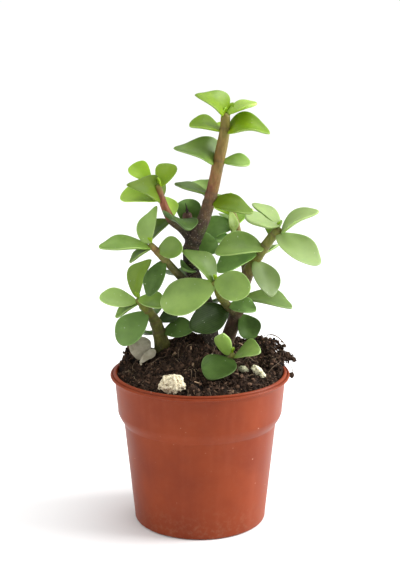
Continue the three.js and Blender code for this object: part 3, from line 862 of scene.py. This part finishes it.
def pot_profile():
    """The wall's outline from the foot's middle, up the outside, over the rim and down to the floor."""
    foot = [(0, 0), (CHANNEL_INNER, 0), (CHANNEL_INNER + 0.5, CHANNEL_DEPTH),
            (CHANNEL_OUTER - 0.5, CHANNEL_DEPTH), (CHANNEL_OUTER, 0), (FOOT_RADIUS - 0.8, 0)]
    foot += arc((FOOT_RADIUS - 0.8, 0.9), 0.9, -70, -10, 4)
    body = straight((FOOT_RADIUS + 0.2, 2.4), (WAIST[0], WAIST[1] - 0.8), 12)
    body += [shoulder(k / 10) for k in range(11)]
    collar = straight((COLLAR_FOOT[0], COLLAR_FOOT[1] + 0.8), (COLLAR_RADIUS, POT_HEIGHT - 2.4), 6)
    under_lip = [from_rim(1.85, 2.2), from_rim(1.3, 2.15)]
    outer_bead = arc(from_rim(0.65, 1.55), 0.62, -95, 110, 9)
    groove = [from_rim(1.15, 1.25), from_rim(1.28, 1.35), from_rim(1.4, 1.2)]
    inner_bead = arc(from_rim(2.25, 0.8), 0.8, -5, 170, 9)
    inside = [from_rim(3.05, 1.6), (COLLAR_RADIUS - WALL - 0.05, POT_HEIGHT - 3),
              (COLLAR_FOOT[0] - WALL, COLLAR_FOOT[1] + 0.4), (WAIST[0] - WALL, WAIST[1] + 0.6),
              (FOOT_RADIUS - 0.2, CHANNEL_DEPTH + BASE_THICKNESS),
              (CHANNEL_INNER + 1, CHANNEL_DEPTH + BASE_THICKNESS),
              (CHANNEL_INNER - 1, BASE_THICKNESS), (0, BASE_THICKNESS)]
    return foot + body + collar + under_lip + outer_bead + groove + inner_bead + inside


def spun(profile, steps):
    """A turned solid in millimetres from a closed profile that starts and ends on the axis."""
    bm = bmesh.new()
    verts = [bm.verts.new((radius, 0, height)) for radius, height in profile]
    edges = [bm.edges.new(pair) for pair in zip(verts, verts[1:])]
    bmesh.ops.spin(bm, geom=verts + edges, cent=(0, 0, 0), axis=(0, 0, 1), angle=2 * math.pi,
                   steps=steps, use_merge=True)
    outwards(bm, 1e-4)
    return bm


def drain_angle(point):
    """How far round a point is from the nearest drain, in radians."""
    turn = 2 * math.pi / DRAIN_COUNT
    return abs((math.atan2(point.y, point.x) % turn) - turn / 2)


def pot_material():
    material, tree, shader = new_material("terracotta_plastic", Specular_IOR_Level=0.14)
    here = own_coordinates(tree)
    rings = own_coordinates(tree, (0.05, 0.05, 1))
    clouds = grain(tree, here, 38, 3.0)
    streaks = grain(tree, own_coordinates(tree, (1, 1, 0.06)), 160, 3.0)
    fine = grain(tree, here, 1500, 3.0)
    turned = grain(tree, rings, 700, 2.0)
    colour = blend(tree, ramp(tree, clouds, 0.3, 0.7), (0.188, 0.029, 0.008), (0.238, 0.041, 0.011))
    colour = blend(tree, ramp(tree, streaks, 0.45, 0.8, 0.0, 0.3), colour, (0.28, 0.060, 0.026))
    height_here = add(tree, "ShaderNodeSeparateXYZ", {0: here}).outputs["Z"]
    low_down = ramp(tree, height_here, 0.0, 0.02, 0.4, 0.05)
    dusty = times(tree, low_down, ramp(tree, grain(tree, here, 420, 5.0, 0.7), 0.45, 0.7))
    colour = blend(tree, dusty, colour, (0.27, 0.12, 0.07))
    scuffs = times(tree, ramp(tree, grain(tree, here, 520, 1.0), 0.76, 0.82), 0.5)
    colour = blend(tree, scuffs, colour, (0.50, 0.28, 0.20))
    roughness = plus(tree, ramp(tree, clouds, 0.3, 0.7, 0.36, 0.46), times(tree, dusty, 0.5))
    height = plus(tree, times(tree, fine, 0.25), times(tree, turned, 0.5))
    finish_shader(tree, shader, colour, roughness, height, 0.00012, 0.3)
    return material


def pot():
    """The pot, with notches in its foot ring between the drains, a mould seam and the drains cut out."""
    bm = spun(pot_profile(), 144)
    for v in bm.verts:
        radius = math.hypot(v.co.x, v.co.y)
        if v.co.z < 0.3 and radius > CHANNEL_OUTER - 0.2:
            near_notch = math.sin(abs(math.pi / DRAIN_COUNT - drain_angle(v.co))) * radius
            if near_notch < NOTCH_WIDTH / 2:
                v.co.z = CHANNEL_DEPTH - 0.1
        seam = math.exp(-((math.atan2(v.co.x, -v.co.y) - SEAM_TURN) * radius / SEAM_WIDTH) ** 2)
        is_outer_wall = radius > 36.5 + (v.co.z - POT_HEIGHT) * 0.08
        if is_outer_wall and 3 < v.co.z < 69:
            v.co.x *= 1 + SEAM_SWELL * seam
            v.co.y *= 1 + SEAM_SWELL * seam
    for k in range(DRAIN_COUNT):
        angle = (k + 0.5) * 2 * math.pi / DRAIN_COUNT
        cut_drain(bm, Vector((DRAIN_CIRCLE * math.cos(angle), DRAIN_CIRCLE * math.sin(angle), 0)))
    # The cuts leave slivers, which would show as dark specks.
    bmesh.ops.dissolve_degenerate(bm, edges=bm.edges, dist=1e-3)
    scaled(bm, MM)
    finished("nursery_pot", bm, pot_material(), "pot_plastic", replaced=("pot",))


def cut_drain(bm, centre, sides=24):
    """Cuts a round hole through the floor: both skins are opened to the hole's edge and bridged."""
    loops = []
    nearby, within = DRAIN_RADIUS * 3.2, DRAIN_RADIUS * 1.012
    for level in (CHANNEL_DEPTH, CHANNEL_DEPTH + BASE_THICKNESS):
        faces = [f for f in bm.faces if abs(f.calc_center_median().z - level) < 0.3
                 and (f.calc_center_median() - centre).to_2d().length < nearby]
        geom = faces + list({e for f in faces for e in f.edges}) + list({v for f in faces for v in f.verts})
        for k in range(sides):
            angle = 2 * math.pi * k / sides
            normal = Vector((math.cos(angle), math.sin(angle), 0))
            geom = bmesh.ops.bisect_plane(bm, geom=geom, dist=0.02, plane_co=centre + normal * DRAIN_RADIUS,
                                          plane_no=normal)["geom"]
        gone = {f for f in geom if isinstance(f, bmesh.types.BMFace)
                and max((v.co - centre).to_2d().length for v in f.verts) < within}
        loops += [e for f in gone for e in f.edges if sum(g in gone for g in e.link_faces) == 1]
        bmesh.ops.delete(bm, geom=list(gone), context="FACES")
    bmesh.ops.bridge_loops(bm, edges=loops)


pot()


# ---------------------------------------------------------------- potting mix

# Heaps on the mound: middle x and y, spread and height.
HEAPS = [(-4, 12, 13, 7), (33, 18, 9, 8), (37, 3, 6, 4), (-32, 13, 9, 6), (14, 28, 12, 2.5),
         (-8, -22, 8, 1.2), (22, -22, 7, 1), (-24, -12, 7, 1)]


def mound(x, y):
    """The smooth height of the mix, in millimetres."""
    height = SOIL_EDGE + SOIL_RISE * max(0.0, 1 - ((x - 3) ** 2 + (y - 10) ** 2) / SOIL_SPAN ** 2)
    for heap_x, heap_y, spread, rise in HEAPS:
        height += rise * math.exp(-((x - heap_x) ** 2 + (y - heap_y) ** 2) / spread ** 2)
    return height


def clods(x, y):
    """The mound with its clods and hollows."""
    coarse = noise.noise(Vector((x * 0.16, y * 0.16, 3.1)))
    middle = noise.noise(Vector((x * 0.42, y * 0.42, 7.7)))
    fine = noise.noise(Vector((x * 1.1, y * 1.1, 1.3)))
    return mound(x, y) + 1.3 * coarse + 2.0 * middle + 0.8 * fine - 0.7


def soil_material():
    material, tree, shader = new_material("potting_mix", Specular_IOR_Level=0.15)
    here = own_coordinates(tree)
    tone = attribute(tree, "tone")
    patches = grain(tree, here, 260, 4.0, 0.65)
    grit = grain(tree, here, 1900, 4.0, 0.7)
    colour = blend(tree, ramp(tree, patches, 0.35, 0.7), (0.005, 0.004, 0.0035), (0.040, 0.022, 0.014))
    browned = times(tree, tone, ramp(tree, grit, 0.3, 0.7, 0.5, 1.0))
    colour = blend(tree, browned, colour, (0.20, 0.115, 0.072))
    pale = ramp(tree, grain(tree, here, 2600, 1.0), 0.68, 0.74)
    colour = blend(tree, times(tree, pale, 0.5), colour, (0.26, 0.17, 0.10))
    height = plus(tree, grit, times(tree, patches, 1.2))
    roughness = ramp(tree, grit, 0.2, 0.8, 0.8, 0.98)
    finish_shader(tree, shader, colour, roughness, height, 0.0006, 0.9)
    return material


SOIL_FINISH = soil_material()


def root_ball():
    """The mix in the pot: a turned plug whose top is raised into clods and hollows."""
    ring_count = 84
    floor_level = BASE_THICKNESS + SOIL_GAP
    channel_level = floor_level + CHANNEL_DEPTH
    side = [(CHANNEL_INNER - 1, floor_level), (CHANNEL_INNER + 1, channel_level),
            (FOOT_RADIUS - 0.7, channel_level),
            (WAIST[0] - WALL - SOIL_WALL_GAP, WAIST[1] + 0.8),
            (COLLAR_FOOT[0] - WALL - SOIL_WALL_GAP, COLLAR_FOOT[1] + 0.6), (SOIL_RADIUS, 62)]
    top = [(SOIL_RADIUS * (1 - k / ring_count) ** 0.9, SOIL_EDGE) for k in range(ring_count + 1)]
    bm = spun([(0, floor_level)] + side + top, 260)
    tone = bm.verts.layers.float.new("tone")
    for v in bm.verts:
        if v.co.z > SOIL_EDGE - 0.5:
            x, y = v.co.x, v.co.y
            v.co.z = clods(x, y)
            v.co.x += 0.5 * noise.noise(Vector((x, y, 20)) * 0.9)
            v.co.y += 0.5 * noise.noise(Vector((x, y, 40)) * 0.9)
            v[tone] = 0.25 * noise.noise(Vector((x, y, 9)) * 0.3) + 0.1
    scaled(bm, MM)
    finished("root_ball", bm, SOIL_FINISH, "soil", replaced=("soil",))


def scatter(rng, count, limit=37.6):
    """Random places over the mound, evenly by area."""
    for _ in range(count):
        radius, angle = limit * math.sqrt(rng.random()), rng.uniform(0, 2 * math.pi)
        yield radius * math.cos(angle), radius * math.sin(angle)


def jostle(rng):
    """A random step within one unit along each axis."""
    return Vector([rng.uniform(-1, 1) for _ in range(3)])


def random_turn(rng):
    turn = Quaternion([rng.gauss(0, 1) for _ in range(4)])
    return turn.normalized().to_matrix().to_4x4()


def crumb(bm, tone, rng, spot, size, shade):
    """One broken crumb of mix: a small faceted ball with its corners pushed about."""
    grown = bmesh.ops.create_icosphere(bm, subdivisions=1, radius=size)["verts"]
    squash = Matrix.Diagonal((rng.uniform(0.7, 1.2), rng.uniform(0.7, 1.2), rng.uniform(0.5, 0.9), 1))
    bmesh.ops.transform(bm, matrix=Matrix.Translation(spot) @ random_turn(rng) @ squash, verts=grown)
    for v in grown:
        v.co += jostle(rng) * size * 0.33
        v[tone] = shade


def crumb_piece(name, rng, rows):
    """A piece of many loose crumbs, made a few dozen at a time because that is much quicker."""
    whole = bmesh.new()
    batch_size = 40
    for start in range(0, len(rows), batch_size):
        bm = bmesh.new()
        tone = bm.verts.layers.float.new("tone")
        for row in rows[start:start + batch_size]:
            crumb(bm, tone, rng, *row)
        batch = mesh_of("batch", bm)
        whole.from_mesh(batch)
        bpy.data.meshes.remove(batch)
    scaled(whole, MM)
    finished(name, whole, SOIL_FINISH, "soil", smooth=False)


def crumb_shade(rng):
    """Most crumbs are nearly black, some brown and a few light."""
    pick = rng.random()
    if pick < 0.5:
        return rng.uniform(0.0, 0.12)
    return rng.uniform(0.15, 0.5) if pick < 0.9 else rng.uniform(0.6, 1.1)


def crumbs(name, count, seed, sizes):
    rng = random.Random(seed)
    rows = []
    for x, y in scatter(rng, count):
        size = rng.uniform(*sizes)
        spot = Vector((x, y, clods(x, y) + size * rng.uniform(-0.1, 0.7)))
        rows.append((spot, size, crumb_shade(rng)))
    crumb_piece(name, rng, rows)


def clumped_crumbs():
    """Crumbs that cling together in loose heaps, and on the right some that hang over the rim."""
    rng = random.Random(31)
    rows = []
    # Each heap's middle, spread and number of crumbs.
    clusters = [((33, 17, 80), 4.6, 170), ((39, 12, 76), 3.2, 120), ((42.5, 9.5, 75.3), 1.8, 60),
                ((44.6, 8, 74.3), 0.9, 16), ((42.7, 1.5, 69), 1.1, 24), ((37, 4, 75.5), 3.6, 110),
                ((38.5, 15, 79), 2.0, 40), ((-32, 13, 78), 4.0, 150), ((-35, 6, 74), 2.8, 90),
                ((25, 24, 80), 5.0, 110), ((-17.5, -31, 71.5), 2.0, 70), ((-20, -10, 74), 3.0, 80),
                ((-10, -12, 76), 3.4, 90), ((3, -22, 73), 3.4, 90), ((24, -22, 72), 3.2, 80)]
    clusters += [((x, y, clods(x, y) + 0.8), rng.uniform(1.2, 2.2), 45) for x, y in scatter(rng, 26, 34)]
    for centre, spread, count in clusters:
        for _ in range(count):
            step = Vector((rng.gauss(0, 1), rng.gauss(0, 1), rng.gauss(0, 0.6))) * spread * 0.45
            spot = Vector(centre) + step
            if math.hypot(spot.x, spot.y) < SOIL_RADIUS:
                spot.z = min(spot.z, clods(spot.x, spot.y) + 1.6)
            elif spot.x < 30:
                continue
            rows.append((spot, rng.uniform(0.4, 1.1), crumb_shade(rng)))
    # A fringe of crumbs where the mix meets the pot's wall.
    for _ in range(520):
        angle, radius = rng.uniform(0, 2 * math.pi), rng.uniform(37.4, 38.6)
        x, y = radius * math.cos(angle), radius * math.sin(angle)
        spot = Vector((x, y, rng.uniform(SOIL_EDGE, max(SOIL_EDGE, clods(x, y)) + 0.3)))
        rows.append((spot, rng.uniform(0.4, 0.95), crumb_shade(rng)))
    crumb_piece("clumped_crumbs", rng, rows)


root_ball()
crumbs("fine_crumbs", 3400, 5, (0.28, 0.6))
crumbs("coarse_crumbs", 1200, 6, (0.5, 1.05))
clumped_crumbs()


# ---------------------------------------------------------------- fibres and bark

FIBRE_FINISH = plain_material("root_fibre", (0.07, 0.045, 0.03), (0.24, 0.17, 0.11), 500, 0.85)
BARK_FINISH = plain_material("bark_chip", (0.09, 0.045, 0.028), (0.36, 0.24, 0.15), 700, 0.85)


def fibre(bm, tone, points, radius, shade):
    """A fine root: a square-sectioned thread along a smooth curve, drawn to a point at both ends."""
    spots = [spot for spot, _ in catmull(points, 4)]
    last = len(spots) - 1
    ring = bmesh.ops.create_circle(bm, segments=4, radius=1)["verts"]
    edges = list({e for v in ring for e in v.link_edges})
    for k, spot in enumerate(spots):
        ahead = (spots[min(k + 1, last)] - spots[max(k - 1, 0)]).normalized()
        size = radius * (0.35 + 0.65 * math.sin(math.pi * k / last))
        turn = ahead.to_track_quat("Z", "Y").to_matrix().to_4x4()
        for j, v in enumerate(ring):
            corner = Vector((math.cos(j * math.pi / 2), math.sin(j * math.pi / 2), 0)) * size
            v.co = spot + turn @ corner
            v[tone] = shade
        if k < last:
            grown = bmesh.ops.extrude_edge_only(bm, edges=edges)["geom"]
            before = ring
            edges = [e for e in grown if isinstance(e, bmesh.types.BMEdge)]
            fresh = {v for v in grown if isinstance(v, bmesh.types.BMVert)}
            ring = [next(e.other_vert(v) for e in v.link_edges if e.other_vert(v) in fresh) for v in before]


def fibres():
    rng = random.Random(12)
    bm = bmesh.new()
    tone = bm.verts.layers.float.new("tone")
    for x, y in scatter(rng, 95, 36):
        heading, length = rng.uniform(0, 2 * math.pi), rng.uniform(4, 11)
        points = []
        for k in range(4):
            heading += rng.uniform(-0.7, 0.7)
            lift = (0.3, 1.1, 1.2, 0.2)[k] * rng.uniform(0.3, 1.3)
            points.append((x, y, clods(x, y) + lift))
            x, y = x + length / 3 * math.cos(heading), y + length / 3 * math.sin(heading)
            if math.hypot(x, y) > 37.5:
                x, y = x * 0.95, y * 0.95
        fibre(bm, tone, points, rng.uniform(0.08, 0.2), rng.uniform(-0.2, 0.4))
    arching = [
        [(28, 17, 81), (31, 16, 84.3), (36, 15, 84.3), (39.5, 14, 81.5), (41, 12, 78)],
        [(30, 19, 81), (34, 19, 84), (38, 18, 82.5), (41.5, 15, 79), (43, 13, 76)],
        [(36, 12, 78), (40, 9, 78.5), (43.5, 8, 77.5), (45.3, 8, 75)],
        [(38, 4, 75), (42, 1, 74.5), (43.6, 0, 71), (43.6, 1, 68.5)],
        [(31, -12, 74), (34, -8, 76), (37, -3, 76.5), (38, 3, 76)],
        [(-25, 12, 79), (-29, 14, 80.5), (-33, 13, 79.5), (-36, 10, 76)],
    ]
    for k, points in enumerate(arching):
        fibre(bm, tone, points, 0.17, 0.2 * (k % 2) - 0.1)
    bmesh.ops.recalc_face_normals(bm, faces=bm.faces)
    bmesh.ops.holes_fill(bm, edges=[e for e in bm.edges if e.is_boundary], sides=4)
    scaled(bm, MM)
    finished("root_fibres", bm, FIBRE_FINISH, "soil")


def bark_chips():
    rng = random.Random(18)
    bm = bmesh.new()
    tone = bm.verts.layers.float.new("tone")
    spots = [(x, y, rng.uniform(0.8, 2.4), rng.uniform(0, 180)) for x, y in scatter(rng, 90, 36)]
    spots += [(-27.4, -15.3, 3.2, 70), (14.3, -29, 3.2, 95), (30, -18, 2.8, 140), (-18, -24, 2.4, 20)]
    for x, y, length, heading in spots:
        grown = bmesh.ops.create_cube(bm, size=1)["verts"]
        size = Matrix.Diagonal((length, length * rng.uniform(0.2, 0.5), length * 0.16, 1))
        tip = Matrix.Rotation(rng.uniform(-0.7, 0.7), 4, "Y")
        lean = tip @ Matrix.Rotation(rng.uniform(-0.5, 0.5), 4, "X")
        stand = Matrix.Translation((x, y, clods(x, y) + 0.5)) @ Matrix.Rotation(math.radians(heading), 4, "Z")
        bmesh.ops.transform(bm, matrix=stand @ lean @ size, verts=grown)
        shade = rng.uniform(-0.5, 0.5)
        for v in grown:
            v.co += jostle(rng) * length * 0.09
            v[tone] = shade
    scaled(bm, MM)
    finished("bark_chips", bm, BARK_FINISH, "soil", smooth=False)


fibres()
bark_chips()


# ---------------------------------------------------------------- perlite

def perlite_material(name, dark, light):
    material, tree, shader = new_material(name, Specular_IOR_Level=0.2)
    here = own_coordinates(tree)
    pits = grain(tree, here, 900, 4.0, 0.65)
    colour = blend(tree, ramp(tree, pits, 0.32, 0.5), dark, light)
    stain = times(tree, ramp(tree, grain(tree, here, 650, 3.0, 0.7), 0.54, 0.64), 0.7)
    colour = blend(tree, stain, colour, (0.15, 0.09, 0.045))
    finish_shader(tree, shader, colour, ramp(tree, pits, 0.3, 0.7, 0.98, 0.85), pits, 0.0005, 0.8)
    return material


def perlite(name, centre, size, seed, material, replaced=(), fineness=4, lean=0):
    """A blocky lump of expanded perlite with low lobes and small open pits, leant over by some degrees."""
    bm = bmesh.new()
    bmesh.ops.create_icosphere(bm, subdivisions=fineness, radius=1)
    tilt = Matrix.Rotation(math.radians(lean), 3, "Y")
    for v in bm.verts:
        way = v.co.normalized()
        lobes = noise.noise(way * 1.6 + Vector((seed, 0, 0)))
        knobs = noise.noise(way * 4.2 + Vector((0, seed, 0)))
        grit = noise.noise(way * 15 + Vector((seed, seed, 0)))
        pits = max(0.0, noise.noise(way * 7 + Vector((0, 0, seed))) - 0.22)
        reach = 1 + 0.24 * lobes + 0.12 * knobs + 0.035 * grit - 0.6 * pits
        block = [math.copysign(abs(part) ** 0.9, part) * side for part, side in zip(way, size)]
        v.co = tilt @ (Vector(block) * reach) + Vector(centre)
    scaled(bm, MM)
    finished(name, bm, material, "perlite", replaced=replaced)


WHITE_PERLITE = perlite_material("white_perlite", (0.40, 0.30, 0.16), (0.84, 0.76, 0.55))
YELLOW_PERLITE = perlite_material("yellowed_perlite", (0.42, 0.38, 0.18), (0.86, 0.83, 0.58))
GREY_PERLITE = perlite_material("mossy_perlite", (0.17, 0.18, 0.09), (0.48, 0.48, 0.32))


def all_perlite():
    low, high = (Vector(corner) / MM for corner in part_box("perlite_large"))
    middle, half_size = (low + high) / 2, (high - low) / 2 * 0.93
    perlite("perlite_lump", middle, half_size, 2.3, WHITE_PERLITE, ("perlite_large",), fineness=6)
    perlite("perlite_chip", (26.2, -12.5, 75.5), (1.8, 1.3, 3.0), 5.1, YELLOW_PERLITE, lean=-48)
    perlite("perlite_crumb", (28.6, -14.4, 74.0), (1.3, 1.1, 1.7), 6.4, YELLOW_PERLITE, lean=-30)
    perlite("mossy_lump", (19.8, -11.8, 75.8), (2.4, 1.7, 1.5), 8.2, GREY_PERLITE, lean=15)
    rng = random.Random(77)
    for k, (x, y) in enumerate(scatter(rng, 5, 35)):
        size = rng.uniform(0.4, 0.8)
        sides = (size, size * 0.8, size * 0.7)
        perlite(f"perlite_bit_{k + 1}", (x, y, clods(x, y) + 0.2), sides, k * 3.7, WHITE_PERLITE)


all_perlite()


# ---------------------------------------------------------------- dry fallen leaves

DRY_FINISH = plain_material("dry_leaf", (0.30, 0.27, 0.19), (0.50, 0.46, 0.36), 200, 0.8)


def dry_leaf(name, matrix, length, breadth, curl, roll, seed, replaced=()):
    """A papery dead leaf, curled over its length and crumpled, with a ragged margin."""
    bm = bmesh.new()
    bmesh.ops.create_grid(bm, x_segments=36, y_segments=24, size=1)
    tone = bm.verts.layers.float.new("tone")
    for v in bm.verts:
        u, w, _ = v.co
        along = (u + 1) / 2
        outline = math.sqrt(max(0.0, 4 * along * (1 - along))) * (0.55 + 0.45 * along)
        ragged = 1 + 0.10 * noise.noise(Vector((u * 3, w * 3, seed)))
        x, y = u * length / 2, w * outline * breadth / 2 * ragged
        crumple = 0.7 * noise.noise(Vector((x * 0.35, y * 0.35, seed)))
        crumple += 0.25 * noise.noise(Vector((x, y, seed)))
        v.co = Vector((x, y, crumple - curl * x * x - roll * y * y + 0.2 * abs(w)))
        v[tone] = 0.35 * noise.noise(Vector((x * 0.5, y * 0.5, seed + 4)))
    outwards(bm, 1e-4)
    bmesh.ops.solidify(bm, geom=bm.faces, thickness=0.28)
    bmesh.ops.transform(bm, matrix=matrix, verts=bm.verts)
    scaled(bm, MM)
    piece = finished(name, bm, DRY_FINISH, "dry_leaf", replaced=replaced)
    rounded(piece)


def place(x, y, z, turn, tip, roll):
    """A place in millimetres with a heading, a tip down and a roll, in degrees."""
    turns = [Matrix.Rotation(math.radians(a), 4, axis) for a, axis in ((turn, "Z"), (tip, "Y"), (roll, "X"))]
    return Matrix.Translation((x, y, z)) @ turns[0] @ turns[1] @ turns[2]


dry_leaf("dry_leaf_shell", place(-28.2, 5, 81.6, 90, -60, 4), 11.5, 13.5, 0.06, 0.05, 3.3, ("dry_leaf",))
dry_leaf("dry_leaf_curl", place(-24.5, 0.5, 78.8, 28, -32, 45), 9.5, 5.5, 0.06, 0.12, 8.8)


# ---------------------------------------------------------------- floor, light and camera

FLOOR_RADIUS = 40
FLOOR_DROP = 0.0002  # the floor lies this far under the pot's foot, so the two don't share a face
CROWN_MIDDLE = (0, 0, 0.11)

CAMERA_PLACE = (0, -0.5738, 0.2474)
CAMERA_TILT = 76.8
CAMERA_LENS, CAMERA_SENSOR = 80.65, 36


def floor():
    material, tree, shader = new_material("studio_floor", Roughness=0.9, Specular_IOR_Level=0.1)
    here = own_coordinates(tree)
    clouds = ramp(tree, grain(tree, here, 3, 2.0), 0.3, 0.7)
    colour = blend(tree, clouds, (0.90, 0.90, 0.90), (0.93, 0.93, 0.93))
    tree.links.new(colour, shader.inputs["Base Color"])
    bm = bmesh.new()
    bmesh.ops.create_circle(bm, cap_ends=True, segments=96, radius=FLOOR_RADIUS)
    mesh = mesh_of("studio_floor", bm)
    mesh.materials.append(material)
    ground = placed("studio_floor", mesh)
    ground.location.z = -FLOOR_DROP


def softbox(name, location, size, power):
    """A square soft light that faces the crown."""
    lamp = bpy.data.lights.new(name, "AREA")
    lamp.size = size
    lamp.energy = power
    box = placed(name, lamp)
    box.location = location
    aim = Vector(CROWN_MIDDLE) - Vector(location)
    box.rotation_euler = aim.to_track_quat("-Z", "Y").to_euler()


def studio():
    world = bpy.data.worlds.new("studio_air")
    world.use_nodes = True
    tree = world.node_tree
    seen = add(tree, "ShaderNodeLightPath").outputs["Is Camera Ray"]
    levels = {"Value": seen, "To Min": 0.55, "To Max": 1.0}
    strength = add(tree, "ShaderNodeMapRange", levels).outputs["Result"]
    tree.links.new(strength, tree.nodes["Background"].inputs["Strength"])
    tree.nodes["Background"].inputs["Color"].default_value = (1, 1, 1, 1)
    scene = bpy.context.scene
    scene.world = world
    softbox("key_right", (0.85, 0.0, 0.45), 0.6, 13)
    softbox("fill_left", (-0.8, -0.4, 0.45), 0.6, 3)
    overhead = bpy.data.lights.new("overhead", "SUN")
    overhead.energy = 2.0
    overhead.angle = math.radians(70)
    sky = placed("overhead", overhead)
    sky.rotation_euler = (math.radians(-8), math.radians(22), 0)
    scene.view_settings.view_transform = "Standard"

    lens = bpy.data.cameras.new("studio_camera")
    lens.lens = CAMERA_LENS
    lens.sensor_width = CAMERA_SENSOR
    camera = placed("studio_camera", lens)
    camera.location = CAMERA_PLACE
    camera.rotation_euler = (math.radians(CAMERA_TILT), 0, 0)
    scene.camera = camera


floor()
studio()
